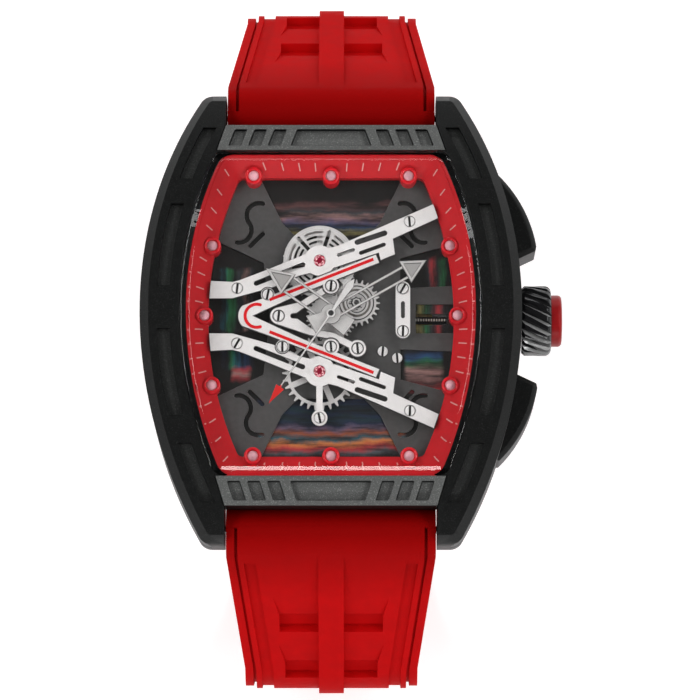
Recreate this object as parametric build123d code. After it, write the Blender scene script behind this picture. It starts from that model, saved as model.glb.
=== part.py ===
from build123d import *
import math
import os

# A tonneau wristwatch, lying dial up: +Z out of the dial, +Y towards 12, +X towards the crown.
# The origin is the middle of the case back's flat face, on the axis of the hands.
# The strap is unbuckled and curled under the case, as it stands on a table. Lengths are in millimetres.

os.makedirs("parts", exist_ok=True)

# Driving dimensions of the case
case_half_width = 21.6
case_half_length = 26.0
case_height = 14.2
case_side_radius = 51.0
case_top_radius = 55.0
lug_corner_radius = 1.6
back_stand_off = 0.5
belly_half_length = 16.0
lug_tip_underside = 1.8
bezel_thickness = 3.0
bezel_edge_chamfer = 1.0

# Openings, from the crystal's down to the movement's
crystal_half_width = 17.1
crystal_half_length = 18.75
crystal_side_radius = 46.0
dial_half_width = 16.2
dial_half_length = 18.25
dial_side_radius = 44.0
dial_corner_radius = 1.5
window_half_width = 14.0
window_half_length = 16.0
window_side_radius = 38.0
cavity_half_width = 15.2
cavity_half_length = 16.6
cavity_corner_radius = 4.0

# Heights of the layers, measured from the case back
back_thickness = 1.5
gasket_thickness = 0.4
dial_seat_height = 5.5
dial_base_thickness = 0.25
dial_plate_thickness = 0.4
gear_thickness = 0.25
gear_gap = 0.1
bridge_thickness = 0.45
hand_gap = 0.3
hand_thickness = 0.2

# Strap and buckle
strap_side_gap = 0.15
strap_width = 20.0
strap_thickness = 3.0
lug_gap = 24.1
pivot_y = 24.0
pivot_z = 4.0
strap_end_radius = 3.25
strap_end_shift = 0.7
strap_end_rise = 0.1
strap_slope = 52.5
strap_straight = 18.9
strap_bend_radius = 7.0
strap_lean = 12.0
strap_fall = 24.0
strap_floor_radius = 17.0

# Crown and pushers
crown_height = 5.0
crown_radius = 4.0
crown_length = 3.4
pusher_travel = 1.0
pusher_bearing = 13.2

# Clearances and joints
part_gap = 0.1
running_gap = 0.05
overrun = 2.0
strap_gap = 0.35

dial_base_top = dial_seat_height + dial_base_thickness
dial_plate_top = dial_base_top + dial_plate_thickness
level_a = dial_plate_top + gear_gap
level_b = level_a + gear_thickness + gear_gap
level_c = level_b + gear_thickness + gear_gap
level_d = level_c + gear_thickness + gear_gap
bridge_bottom = level_d + gear_thickness
bridge_top = bridge_bottom + bridge_thickness
hour_hand_bottom = bridge_top + 2 * hand_gap
minute_hand_bottom = hour_hand_bottom + hand_thickness + hand_gap
seconds_hand_bottom = minute_hand_bottom + hand_thickness + hand_gap


def save(shape, name):
    """Write one node as a STEP file of its solids."""
    shape.label = name
    export_step(shape, f"parts/{name}.step")


def turned(length, angle, centre=(0, 0)):
    """The point at a distance and an angle in degrees from a centre, in a plane."""
    return (
        centre[0] + length * math.cos(math.radians(angle)),
        centre[1] + length * math.sin(math.radians(angle)),
    )


def scaled(shares, size):
    """Points given as shares of one size."""
    return [(x * size, y * size) for x, y in shares]


def mirrored(points):
    """The same points on the 6 o'clock side."""
    return [(x, -y) for x, y in points]


def polygon(points):
    return make_face(Polyline(*points, close=True))


def arc(centre, radius, start, end):
    """An arc of a circle between two angles in degrees."""
    middle = (start + end) / 2
    return ThreePointArc(
        turned(radius, start, centre), turned(radius, middle, centre), turned(radius, end, centre)
    )


def layer(outline, bottom, top):
    """A flat piece of an outline between two heights."""
    return extrude(Pos(0, 0, bottom) * outline, amount=top - bottom)


def disc(radius, bottom, top, centre=(0, 0)):
    return layer(Pos(*centre) * Circle(radius), bottom, top)


def tube(outer, inner, bottom, top, centre=(0, 0)):
    return layer(Pos(*centre) * (Circle(outer) - Circle(inner)), bottom, top)


def slab(outline, half_width):
    """A side-view outline, drawn in Y and Z, stretched along X both ways."""
    return extrude(Plane.YZ * outline, amount=half_width, both=True)


def barrel(half_width, half_length, side_radius, corner_radius):
    """The tonneau outline: straight ends, two long arcs and rounded corners."""
    corner = half_width - side_radius + math.sqrt(side_radius**2 - half_length**2)
    outline = (
        Line((-corner, half_length), (corner, half_length))
        + ThreePointArc((corner, half_length), (half_width, 0), (corner, -half_length))
        + Line((corner, -half_length), (-corner, -half_length))
        + ThreePointArc((-corner, -half_length), (-half_width, 0), (-corner, half_length))
    )
    face = make_face(outline)
    return fillet(face.vertices(), corner_radius) if corner_radius else face


def link(start, start_radius, end, end_radius):
    """A tapering bar with round ends: two circles and their common tangents."""
    reach = Vector(*end) - Vector(*start)
    along = reach.normalized()
    across = Vector(-along.Y, along.X)
    lean = (start_radius - end_radius) / reach.length
    side = math.sqrt(1 - lean**2)
    corners = []
    for centre, radius, sign in (
        (start, start_radius, 1),
        (end, end_radius, 1),
        (end, end_radius, -1),
        (start, start_radius, -1),
    ):
        corner = Vector(*centre) + (along * lean + across * (side * sign)) * radius
        corners.append((corner.X, corner.Y))
    return polygon(corners) + Pos(*start) * Circle(start_radius) + Pos(*end) * Circle(end_radius)


def slot(start, end, width):
    return link(start, width / 2, end, width / 2)


def curved_top(drop):
    """Everything under the case's curved top, lowered by a drop."""
    axis_height = case_height - case_top_radius
    return Pos(0, 0, axis_height) * Rot(0, 90, 0) * Cylinder(
        case_top_radius - drop, 2 * (case_half_width + overrun)
    )


crystal_outline = barrel(
    crystal_half_width, crystal_half_length, crystal_side_radius, dial_corner_radius
)
dial_outline = barrel(dial_half_width, dial_half_length, dial_side_radius, dial_corner_radius)


# Case middle
back_recess_margin = 1.7
strap_lug_width = lug_gap - 2 * strap_side_gap
strap_end_centre = (pivot_y + strap_end_shift, pivot_z + strap_end_rise)
bay_wall = strap_end_centre[0] - strap_end_radius - strap_gap
spring_bar_radius = 0.9
spring_bar_tip_radius = 0.45
spring_bar_tip_length = 1.2
crown_tube_radius = 1.4
back_screw_radius = 0.5
back_screw_depth = 1.6
back_screw_inset = 1.75
pusher_height = 6.4
pusher_length = 10.2
pusher_stem_radius = 0.9
pusher_stem_drop = 0.9
pusher_pocket_gap = 0.15
pusher_spring_radius = 1.6
pusher_spring_room = 1.7

back_recess = barrel(
    cavity_half_width + back_recess_margin,
    cavity_half_length + back_recess_margin,
    dial_side_radius,
    cavity_corner_radius / 2,
)
cavity_outline = barrel(
    cavity_half_width, cavity_half_length, dial_side_radius, cavity_corner_radius
)
recess_top = back_thickness + gasket_thickness


def back_screw_places():
    """One place near each corner of the case back."""
    x = cavity_half_width + back_recess_margin - dial_side_radius
    half_length = cavity_half_length + back_recess_margin
    x += math.sqrt(dial_side_radius**2 - half_length**2) - back_screw_inset
    y = half_length - back_screw_inset
    return [(x, y), (-x, y), (-x, -y), (x, -y)]


def pusher_place(side):
    """The frame of a pusher: its X is its way out, its Y runs along the case towards 12 or 6."""
    centre = case_half_width - case_side_radius
    x, y = turned(case_side_radius, pusher_bearing, (centre, 0))
    bearing = math.radians(pusher_bearing)
    outward = (math.cos(bearing), side * math.sin(bearing), 0)
    return Plane(origin=(x, side * y, crown_height), x_dir=outward, z_dir=(0, 0, 1))


def pusher_rod(radius, start, end):
    """A round bar along a pusher's own X, low enough to pass under the dial."""
    middle = (start + end) / 2
    return Pos(middle, 0, -pusher_stem_drop) * Rot(0, 90, 0) * Cylinder(radius, end - start)


pusher_inner = -0.75
pusher_pocket_floor = pusher_inner - pusher_travel - 2 * pusher_pocket_gap
pusher_clip_radius = 1.25
pusher_clip_thickness = 0.3
pusher_clip_seat = -6.2
pusher_clip_place = pusher_clip_seat - pusher_clip_thickness - running_gap / 2
pusher_rod_end = pusher_clip_place - pusher_clip_thickness


def pusher_cuts():
    """What each pusher needs out of the case wall: a pocket, a spring seat and a bore."""
    half_long = pusher_length / 2 + pusher_pocket_gap
    depth = overrun - pusher_pocket_floor
    pocket = Pos(pusher_pocket_floor + depth / 2, 0, 0) * Box(
        depth, 2 * half_long, pusher_height + 2 * pusher_pocket_gap
    )
    seat = pusher_rod(
        pusher_spring_radius + running_gap,
        pusher_pocket_floor - pusher_spring_room,
        pusher_pocket_floor,
    )
    bore = pusher_rod(
        pusher_stem_radius + running_gap, pusher_rod_end - overrun, pusher_pocket_floor
    )
    clip_seat = pusher_rod(
        pusher_clip_radius + part_gap, pusher_rod_end - pusher_travel - part_gap, pusher_clip_seat
    )
    return pocket + seat + bore + clip_seat


def case_middle():
    block = layer(
        barrel(case_half_width, case_half_length, case_side_radius, lug_corner_radius), 0, case_height
    )
    block &= curved_top(bezel_thickness)
    underside = polygon(
        [
            (-case_half_length - overrun, -overrun),
            (-case_half_length - overrun, lug_tip_underside),
            (-case_half_length, lug_tip_underside),
            (-belly_half_length, back_stand_off),
            (belly_half_length, back_stand_off),
            (case_half_length, lug_tip_underside),
            (case_half_length + overrun, lug_tip_underside),
            (case_half_length + overrun, -overrun),
        ]
    )
    block -= slab(underside, case_half_width + overrun)
    bay_depth = case_half_length - bay_wall + overrun
    for side in (1, -1):
        block -= Pos(0, side * (bay_wall + bay_depth / 2), case_height / 2) * Box(
            lug_gap, bay_depth, 2 * case_height
        )
        tip_span = lug_gap + 2 * spring_bar_tip_length
        block -= Pos(0, side * pivot_y, pivot_z) * Rot(0, 90, 0) * Cylinder(
            spring_bar_tip_radius + running_gap, tip_span
        )
        block -= pusher_place(side).location * pusher_cuts()
    block -= layer(back_recess, 0, recess_top)
    block -= layer(cavity_outline, 0, dial_seat_height)
    block -= layer(dial_outline, dial_seat_height, case_height)
    for place in back_screw_places():
        block -= disc(back_screw_radius, recess_top, recess_top + back_screw_depth, place)
    bore_length = case_half_width - cavity_half_width + 2 * overrun
    block -= Pos(case_half_width + overrun - bore_length / 2, 0, crown_height) * Rot(0, 90, 0) * Cylinder(
        crown_tube_radius, bore_length
    )
    return block


# Bezel: two rails and two end bars
bar_outer_y = 22.0
seam_slant = 1.0
seam_gap = 0.08
pocket_depth = 0.8
pocket_width = 1.4
pocket_inset = 2.65
pocket_spans = ((2.45, 12.15), (15.2, 21.65))
bar_pocket_start = 5.1
bar_pocket_width = 1.38
bar_pocket_pitch = 2.25
bar_pocket_slant = 0.7
bar_pocket_margin = 0.6
bar_centre_half = 3.87
bar_pocket_count = 3


def bezel_layer(outline):
    """A piece of the curved layer that tops the case."""
    return layer(outline, 0, case_height + overrun) & (curved_top(0) - curved_top(bezel_thickness))


def bar_plan(gap=0):
    """Half of the plan of an end bar's space, at 12, its sides drawn in by a gap."""
    outer = lug_gap / 2 - gap
    inner = outer + seam_slant
    inner_y = crystal_half_length
    return polygon([(-outer, bar_outer_y), (outer, bar_outer_y), (inner, inner_y), (-inner, inner_y)])


def rail_pocket(low, high):
    """A pocket that follows the side of the case between two heights on the plan."""
    middle = case_side_radius - pocket_inset
    centre = (case_half_width - case_side_radius, 0)
    ring = Circle(middle + pocket_width / 2) - Circle(middle - pocket_width / 2)
    window = Pos(middle, (low + high) / 2) * Rectangle(case_half_width, high - low)
    return Pos(*centre) * (ring & window)


def bezel_rail(side):
    plan = barrel(case_half_width, case_half_length, case_side_radius, lug_corner_radius)
    plan -= crystal_outline
    length = 2 * (case_half_length + overrun)
    for end in (1, -1):
        bar = bar_plan(-seam_gap)
        bay = Pos(0, bar_outer_y + length / 2) * Rectangle(lug_gap, length)
        plan -= bar if end == 1 else mirror(bar, Plane.XZ)
        plan -= bay if end == 1 else mirror(bay, Plane.XZ)
    plan &= Pos(case_half_width, 0) * Rectangle(2 * case_half_width, length)
    rail = bezel_layer(plan)
    crest = rail.faces().sort_by(Axis.Z)[-1]
    outer_edge = crest.edges().filter_by(GeomType.LINE, reverse=True).sort_by(SortBy.LENGTH)
    outer_edge = [e for e in outer_edge if e.center().X > crystal_half_width][-1]
    rail = chamfer(outer_edge, bezel_edge_chamfer)
    skin = curved_top(0) - curved_top(pocket_depth)
    for low, high in pocket_spans:
        for end in (1, -1):
            cut = layer(rail_pocket(low, high), 0, case_height + overrun) & skin
            rail -= cut if end == 1 else mirror(cut, Plane.XZ)
    return rail if side == 1 else mirror(rail, Plane.YZ)


def bezel_bar(end):
    plan = bar_plan()
    bar = bezel_layer(plan - crystal_outline)
    outer_y = bar_outer_y - bar_pocket_margin
    inner_y = crystal_half_length + bar_pocket_margin
    cuts = [
        polygon(
            [
                (-bar_centre_half, outer_y),
                (bar_centre_half, outer_y),
                (bar_centre_half + bar_pocket_slant, inner_y),
                (-bar_centre_half - bar_pocket_slant, inner_y),
            ]
        )
    ]
    for index in range(bar_pocket_count):
        start = bar_pocket_start + index * bar_pocket_pitch
        stop = start + bar_pocket_width
        pocket = polygon(
            [
                (start, outer_y),
                (stop, outer_y),
                (stop + bar_pocket_slant, inner_y),
                (start + bar_pocket_slant, inner_y),
            ]
        )
        cuts += [pocket, mirror(pocket, Plane.YZ)]
    skin = curved_top(0) - curved_top(pocket_depth)
    for pocket in cuts:
        bar -= layer(pocket, 0, case_height + overrun) & skin
    return bar if end == 1 else mirror(bar, Plane.XZ)


# Crystal and its gasket
crystal_drop = 0.3
crystal_thickness = 1.4
crystal_bevel = 0.45


def crystal():
    outline = barrel(
        crystal_half_width - part_gap,
        crystal_half_length - part_gap,
        crystal_side_radius,
        dial_corner_radius,
    )
    band = curved_top(crystal_drop) - curved_top(crystal_drop + crystal_thickness)
    glass = layer(outline, 0, case_height) & band
    crest = glass.faces().sort_by(Axis.Z)[-1]
    return chamfer(crest.edges(), crystal_bevel)


def crystal_gasket():
    outline = barrel(
        crystal_half_width - part_gap / 2,
        crystal_half_length - part_gap / 2,
        crystal_side_radius,
        dial_corner_radius,
    )
    band = curved_top(crystal_drop + crystal_thickness) - curved_top(bezel_thickness)
    return layer(outline - dial_outline, 0, case_height) & band


# Flange ring, minute ticks and hour markers
flange_gap = 0.1
flange_rim = 0.15
flange_top = 9.0
flange_inner_top = 7.3
tick_height = 0.05
tick_width = 0.13
tick_length = 0.7
tick_inset = 0.75
cup_radius = 1.0
cup_top = 8.55
dome_radius = 0.62
dome_depth = 0.3
dome_rise = 0.35
minutes = 60
window_outline = barrel(
    window_half_width, window_half_length, window_side_radius, dial_corner_radius / 2
)
marker_top_shares = (0, 1.003)
marker_one_shares = (0.632, 1.003)
marker_two_shares = (0.968, 0.5)
marker_three_shares = (1.029, 0)


def marker_places():
    """Twelve places on the inner edge of the ring, in shares of the window's half sizes."""
    places = set()
    for x, y in (marker_top_shares, marker_one_shares, marker_two_shares, marker_three_shares):
        for sign_x in (1, -1):
            for sign_y in (1, -1):
                places.add((sign_x * x * window_half_width + 0.0, sign_y * y * window_half_length + 0.0))
    return sorted(places)


def flange_funnel(raise_by=0):
    """The space above the ring's slope, from the window's edge up to the rim."""
    rim = barrel(
        dial_half_width - flange_gap - flange_rim,
        dial_half_length - flange_gap - flange_rim,
        dial_side_radius,
        dial_corner_radius,
    )
    low = Pos(0, 0, flange_inner_top + raise_by) * window_outline
    high = Pos(0, 0, flange_top + raise_by) * rim
    return loft([low, high], ruled=True)


def flange_ring():
    outline = barrel(
        dial_half_width - flange_gap,
        dial_half_length - flange_gap,
        dial_side_radius,
        dial_corner_radius,
    )
    ring = layer(outline - window_outline, dial_plate_top, flange_top)
    ring -= flange_funnel()
    for place in marker_places():
        ring -= disc(cup_radius, dial_plate_top, case_height, place)
    return ring


def edge_reach(angle):
    """Distance from the hands' axis to the ring's rim at an angle, before its corners are rounded."""
    half_width = dial_half_width - flange_gap
    half_length = dial_half_length - flange_gap
    run = abs(math.sin(math.radians(angle)))
    side = abs(math.cos(math.radians(angle)))
    to_end = half_length / run if run > 0 else math.inf
    centre = half_width - dial_side_radius
    to_side = centre * side + math.sqrt(dial_side_radius**2 - (centre * run) ** 2)
    return min(to_end, to_side)


def minute_ticks():
    skin = flange_funnel() - flange_funnel(tick_height)
    marks = []
    for minute in range(minutes):
        angle = minute * 360 / minutes
        far = edge_reach(angle) - tick_inset
        mark = slot(turned(far - tick_length, angle), turned(far, angle), tick_width)
        solid = layer(mark, flange_inner_top, case_height) & skin
        if minute % 5:
            marks += solid.solids()
    return Compound(marks)


def marker_cups():
    cups = []
    for place in marker_places():
        cup = disc(cup_radius, dial_plate_top, cup_top, place)
        cup -= disc(dome_radius, cup_top - dome_depth, cup_top, place)
        cups.append(cup.solid())
    return Compound(cups)


def marker_domes():
    domes = []
    sphere_radius = (dome_radius**2 + dome_rise**2) / (2 * dome_rise)
    for place in marker_places():
        pill = disc(dome_radius, cup_top - dome_depth, cup_top + dome_rise, place)
        ball = Pos(*place, cup_top + dome_rise - sphere_radius) * Sphere(sphere_radius)
        domes.append((pill & ball).solid())
    return Compound(domes)


# Train of wheels
train_module = 0.27
centre_teeth = 18
outer_teeth = 30
motion_centre = (2.9, 1.7)
cannon_teeth = 8
minute_wheel_teeth = 24
minute_pinion_teeth = 8
hour_teeth = 32
tip_share = 0.85
root_share = 1.15
tip_half_share = 0.1
root_half_share = 0.27
hub_offset = -1.3
hub_radius = 1.75
arbor_radius = 0.35
pivot_radius = 0.15
pivot_depth = 0.2
seconds_arbor_radius = 0.15
cannon_inner = seconds_arbor_radius + running_gap
cannon_outer = 0.42
hour_tube_inner = cannon_outer + running_gap
hour_tube_outer = 0.7
post_radius = 0.22
post_bore = post_radius + running_gap

train_distance = (centre_teeth + outer_teeth) * train_module / 2
hub_y = math.sqrt(train_distance**2 - hub_offset**2)
motion_distance = math.hypot(*motion_centre)
motion_module = 2 * motion_distance / (cannon_teeth + minute_wheel_teeth)
hour_module = 2 * motion_distance / (minute_pinion_teeth + hour_teeth)
upper_hub = (hub_offset, hub_y)
lower_hub = (hub_offset, -hub_y)


def bearing_of(place):
    return math.degrees(math.atan2(place[1], place[0]))


def mesh_turn(bearing, driver_turn, driver_teeth, driven_teeth):
    """How far the driven wheel is turned so that its gap meets the driver's tooth."""
    return bearing + 180 - (driver_turn - bearing) * driver_teeth / driven_teeth + 180 / driven_teeth


def gear_outline(teeth, module, turn):
    """A toothed outline with straight-sided teeth."""
    pitch_radius = teeth * module / 2
    pitch = 360 / teeth
    root = pitch_radius - module * root_share
    tip = pitch_radius + module * tip_share
    points = []
    for index in range(teeth):
        middle = turn + index * pitch
        points.append(turned(root, middle - pitch * root_half_share))
        points.append(turned(tip, middle - pitch * tip_half_share))
        points.append(turned(tip, middle + pitch * tip_half_share))
        points.append(turned(root, middle + pitch * root_half_share))
    return polygon(points)


lower_rim_inner = 3.35
lower_rim_hub = 1.0
lower_spoke_width = 0.7
lower_spokes = 4
gear_window_outer = 3.2
gear_window_inner = 1.1
upper_disc_radius = 4.15
disc_slot_radii = (3.4, 2.85, 2.3)
disc_slot_width = 0.26
disc_slot_sweep = 34.0
disc_sectors = 6
disc_turn = 12.0
spoke_slot_width = 0.42
spoke_slot_outer = 3.62
spoke_slot_inner = 1.75
centre_turn = 0.0
cannon_turn = 10.0
hour_pinion_turn = 5.0
upper_turn = mesh_turn(bearing_of(upper_hub), centre_turn, centre_teeth, outer_teeth)
lower_turn = mesh_turn(bearing_of(lower_hub), centre_turn, centre_teeth, outer_teeth)
minute_wheel_turn = mesh_turn(
    bearing_of(motion_centre), cannon_turn, cannon_teeth, minute_wheel_teeth
)
hour_turn = mesh_turn(
    bearing_of(motion_centre) + 180, hour_pinion_turn, minute_pinion_teeth, hour_teeth
)


def arbor(centre):
    """The axle of an outer wheel, with a thin pivot at each end."""
    bottom = dial_plate_top + gear_gap / 2
    top = bridge_bottom - gear_gap / 2
    body = disc(arbor_radius, bottom, top, centre)
    body += disc(pivot_radius, bottom - pivot_depth, top + pivot_depth, centre)
    return body


def centre_wheel():
    outline = gear_outline(centre_teeth, train_module, centre_turn) - Circle(cannon_outer)
    return layer(outline, level_a, level_a + gear_thickness)


def cannon_pinion():
    outline = gear_outline(cannon_teeth, motion_module, cannon_turn) - Circle(cannon_inner)
    pinion = layer(outline, level_b, level_b + gear_thickness)
    tube_bottom = dial_seat_height - dial_plate_thickness
    return pinion + tube(cannon_outer, cannon_inner, tube_bottom, minute_hand_bottom + hand_thickness)


def minute_wheel():
    wheel = gear_outline(minute_wheel_teeth, motion_module, minute_wheel_turn)
    pinion = gear_outline(minute_pinion_teeth, hour_module, hour_pinion_turn)
    body = layer(wheel, level_b, level_b + gear_thickness)
    body += layer(pinion, level_b, level_c + gear_thickness)
    body -= disc(post_bore, 0, case_height)
    return Pos(*motion_centre) * body


def hour_wheel():
    wheel = gear_outline(hour_teeth, hour_module, hour_turn) - Circle(hour_tube_inner)
    body = layer(wheel, level_c, level_c + gear_thickness)
    return body + tube(hour_tube_outer, hour_tube_inner, level_c, hour_hand_bottom + hand_thickness)


def lower_wheel():
    rim = gear_outline(outer_teeth, train_module, lower_turn) - Circle(lower_rim_inner)
    spoke = Rectangle(2 * lower_rim_inner + lower_spoke_width / 2, lower_spoke_width)
    wheel = rim + Circle(lower_rim_hub)
    for index in range(lower_spokes // 2):
        wheel += Rot(0, 0, lower_turn + index * 360 / lower_spokes) * spoke
    body = Pos(*lower_hub) * layer(wheel, level_a, level_a + gear_thickness)
    return body + arbor(lower_hub)


def upper_gear():
    wheel = gear_outline(outer_teeth, train_module, upper_turn)
    wheel -= Circle(gear_window_outer) - Circle(gear_window_inner) - Rectangle(
        2 * gear_window_outer, lower_spoke_width
    ) - Rectangle(lower_spoke_width, 2 * gear_window_outer)
    body = Pos(*upper_hub) * layer(wheel, level_a, level_a + gear_thickness)
    return body + arbor(upper_hub)


def arc_slot(radius, start, sweep, width):
    """A slot that follows a circle, with round ends."""
    ring = Circle(radius + width / 2) - Circle(radius - width / 2)
    far = 2 * radius
    wedge = polygon([(0, 0), turned(far, start), turned(far, start + sweep / 2), turned(far, start + sweep)])
    ends = [Pos(*turned(radius, start + part * sweep)) * Circle(width / 2) for part in (0, 1)]
    return (ring & wedge) + ends[0] + ends[1]


def upper_disc():
    wheel = Circle(upper_disc_radius) - Circle(arbor_radius)
    sector = 360 / disc_sectors
    for index in range(disc_sectors):
        start = disc_turn + index * sector
        wheel -= slot(
            turned(spoke_slot_inner, start), turned(spoke_slot_outer, start), spoke_slot_width
        )
        for radius in disc_slot_radii:
            wheel -= arc_slot(
                radius, start + (sector - disc_slot_sweep) / 2, disc_slot_sweep, disc_slot_width
            )
    return Pos(*upper_hub) * layer(wheel, level_d, level_d + gear_thickness / 2)


# Dial base and dial plate
stem_radius = 0.4
stem_window_half_width = 0.65
stem_window_inner = 9.6
stem_window_outer = 13.2
centre_hole_radius = hour_tube_outer + part_gap
plate_margin = 0.2
wing_slot_width = 0.55
top_opening_shares = ((0.585, 1.165), (-0.585, 1.165), (-0.4, 0.79), (-0.27, 0.655), (0.27, 0.655), (0.4, 0.79))
side_opening_shares = ((-0.93, 0.64), (-0.55, 0.46), (-0.5, 0), (-0.55, -0.46), (-0.93, -0.64), (-1.04, 0))
right_high_shares = ((0.565, 0.5), (0.95, 0.6), (1.01, 0.27), (0.565, 0.25))
right_middle_shares = ((0.69, 0.12), (1.02, 0.12), (1.02, -0.12), (0.69, -0.12))
scroll_high_shares = ((-0.56, 0.95), (-0.68, 0.9), (-0.67, 0.79))
scroll_low_shares = ((-0.67, 0.79), (-0.66, 0.69), (-0.77, 0.63))
scroll_stroke_shares = ((-0.56, 0.7), (-0.66, 0.6))


def dial_base():
    outline = barrel(
        dial_half_width - part_gap,
        dial_half_length - part_gap,
        dial_side_radius,
        dial_corner_radius,
    )
    base = layer(outline, dial_seat_height, dial_base_top)
    base -= disc(cannon_outer + running_gap, 0, case_height)
    window_middle = (stem_window_inner + stem_window_outer) / 2
    window = Pos(window_middle, 0) * Rectangle(
        stem_window_outer - stem_window_inner, 2 * stem_window_half_width
    )
    return base - layer(window, 0, case_height)


def scroll():
    """An S-shaped cut of two curled slots and a stroke, in the wing at 10 o'clock."""
    cut = Sketch()
    for shares in (scroll_high_shares, scroll_low_shares):
        points = scaled(shares, window_half_width)
        path = ThreePointArc(*points)
        cut += SlotArc(path, wing_slot_width)
    ends = scaled(scroll_stroke_shares, window_half_width)
    return cut + slot(*ends, wing_slot_width)


def dial_plate():
    outline = barrel(
        dial_half_width - plate_margin,
        dial_half_length - plate_margin,
        dial_side_radius,
        dial_corner_radius,
    )
    size = window_half_width
    top = polygon(scaled(top_opening_shares, size))
    right = polygon(scaled(right_high_shares, size))
    middle = polygon(scaled(right_middle_shares, size))
    left = polygon(scaled(side_opening_shares, size))
    wing = scroll()
    cuts = [top, mirror(top, Plane.XZ), left, right, mirror(right, Plane.XZ), middle]
    for cut in (wing, mirror(wing, Plane.XZ)):
        cuts += [cut, mirror(cut, Plane.YZ)]
    for cut in cuts:
        outline -= cut
    outline -= Circle(centre_hole_radius)
    for hub in (upper_hub, lower_hub):
        outline -= Pos(*hub) * Circle(pivot_radius + running_gap)
    for place in plate_screw_places():
        outline -= Pos(*place) * Circle(screw_shaft_radius)
    plate = layer(outline, dial_base_top, dial_plate_top)
    post_top = level_c + gear_thickness + gear_gap / 2
    return plate + disc(post_radius, dial_base_top, post_top, motion_centre)


# Screws of the dial
screw_head_radius = 0.58
screw_head_height = 0.3
screw_proud = 0.05
screw_shaft_radius = 0.28
screw_seat_gap = 0.08
screw_slot_width = 0.16
screw_slot_depth = 0.12
pillar_radius = 0.5
upper_screw_shares = ((-0.764, 0.226), (0.64, 0.776))
nose_screw_share = (-0.515, 0.176)
nose_low_screw_share = (-0.395, -0.252)
nose_lobe_shares = ((0, 0.247), (0, -0.253))
fork_end_share = (-0.426, 0)
fork_hook_share = (0.216, -0.266)
foot_share = (-0.0929, -0.834)
cock_ends_shares = ((0.585, 0.225), (0.585, -0.125))
loose_screw_shares = ((0.421, -0.271), (0.539, -0.325))
nose_pillar_share = (-0.69, 0)


def shared(share):
    """One place given in shares of the window's half width."""
    return (share[0] * window_half_width, share[1] * window_half_width)


def bridge_screw_places():
    """Screws that sit in the bridges, and whether a pillar stands under each."""
    deep = scaled(upper_screw_shares, window_half_width)
    deep += mirrored(scaled(upper_screw_shares, window_half_width))
    deep += [shared(nose_screw_share), shared(nose_low_screw_share), shared(fork_end_share)]
    deep += [shared(fork_hook_share), shared(foot_share)]
    deep += scaled(cock_ends_shares, window_half_width)
    shallow = scaled(nose_lobe_shares, window_half_width)
    return deep, shallow


def plate_screw_places():
    deep, _ = bridge_screw_places()
    return deep + scaled(loose_screw_shares, window_half_width)


def screw(place, head_bottom, shaft_bottom, turn):
    body = disc(screw_head_radius, head_bottom, head_bottom + screw_head_height + screw_proud)
    body += disc(screw_shaft_radius, shaft_bottom, head_bottom)
    top = head_bottom + screw_head_height + screw_proud
    body -= Pos(0, 0, top - screw_slot_depth / 2) * Box(
        2 * (screw_head_radius + overrun), screw_slot_width, screw_slot_depth
    )
    return Pos(*place) * Rot(0, 0, turn) * body


screw_turns = (84.0, 95.0, 60.0, 88.0, 102.0, 78.0, 90.0)


def dial_screws():
    deep, shallow = bridge_screw_places()
    head_bottom = bridge_top - screw_head_height
    screws = []
    for index, place in enumerate(deep + shallow):
        turn = screw_turns[index % len(screw_turns)]
        shaft_bottom = dial_base_top if place in deep else bridge_bottom
        screws.append(screw(place, head_bottom, shaft_bottom, turn).solid())
    for place in scaled(loose_screw_shares, window_half_width):
        screws.append(screw(place, dial_plate_top, dial_base_top, screw_turns[0]).solid())
    return Compound(screws)


# Bridges
bridge_shares = (
    (-1.05, 0.29),
    (-0.8, 0.278),
    (-0.745, 0.292),
    (-0.518, 0.379),
    (-0.219, 0.502),
    (0.057, 0.576),
    (0.93, 0.96),
    (0.98, 0.854),
    (0.504, 0.634),
    (0.52, 0.506),
    (0.405, 0.458),
    (0.39, 0.52),
    (0.036, 0.4),
    (-0.252, 0.333),
    (-0.463, 0.239),
    (-0.8, 0.145),
    (-1.05, 0.143),
)
bridge_slot_shares = (
    ((-0.609, 0.267), (-0.23, 0.418), 0.041),
    ((0.214, 0.605), (0.437, 0.68), 0.044),
    ((0.243, 0.517), (0.43, 0.585), 0.032),
    ((0.062, 0.5), (0.18, 0.542), 0.028),
)
nose_shares = ((-0.634, 0), (-0.22, 0.192), (0.395, 0.436), (0.366, 0.506), (-0.51, 0.161), (-0.722, 0.085))
nose_tip_share = -0.757
nose_tab_radius = 0.8
nose_lobe_radius = 0.95
bridge_gap = 0.08
fork_end_radius = 1.0
fork_knee_share = (-0.236, 0.09)
fork_elbow_share = (-0.17, -0.13)
fork_low_share = (0.015, -0.165)
fork_arm_radius = 0.42
fork_throat_share = (-0.31, 0)
fork_throat_radius = 0.25
foot_half_width = 0.37
foot_radius = 0.9
cock_radius = 0.85
cock_slot_width = 0.4
setting_radius = 1.15
setting_depth = 0.25
jewel_radius = 0.7
jewel_rise = 0.2
inlay_width = 0.35
inlay_height = 0.05
inlay_line_shares = ((-0.5, 0.131), (0.345, 0.465))
inlay_curve_shares = ((-0.575, 0.09), (-0.699, 0), (-0.575, -0.09))


def pillar(place):
    return disc(pillar_radius, dial_plate_top, bridge_bottom, place)


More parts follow.
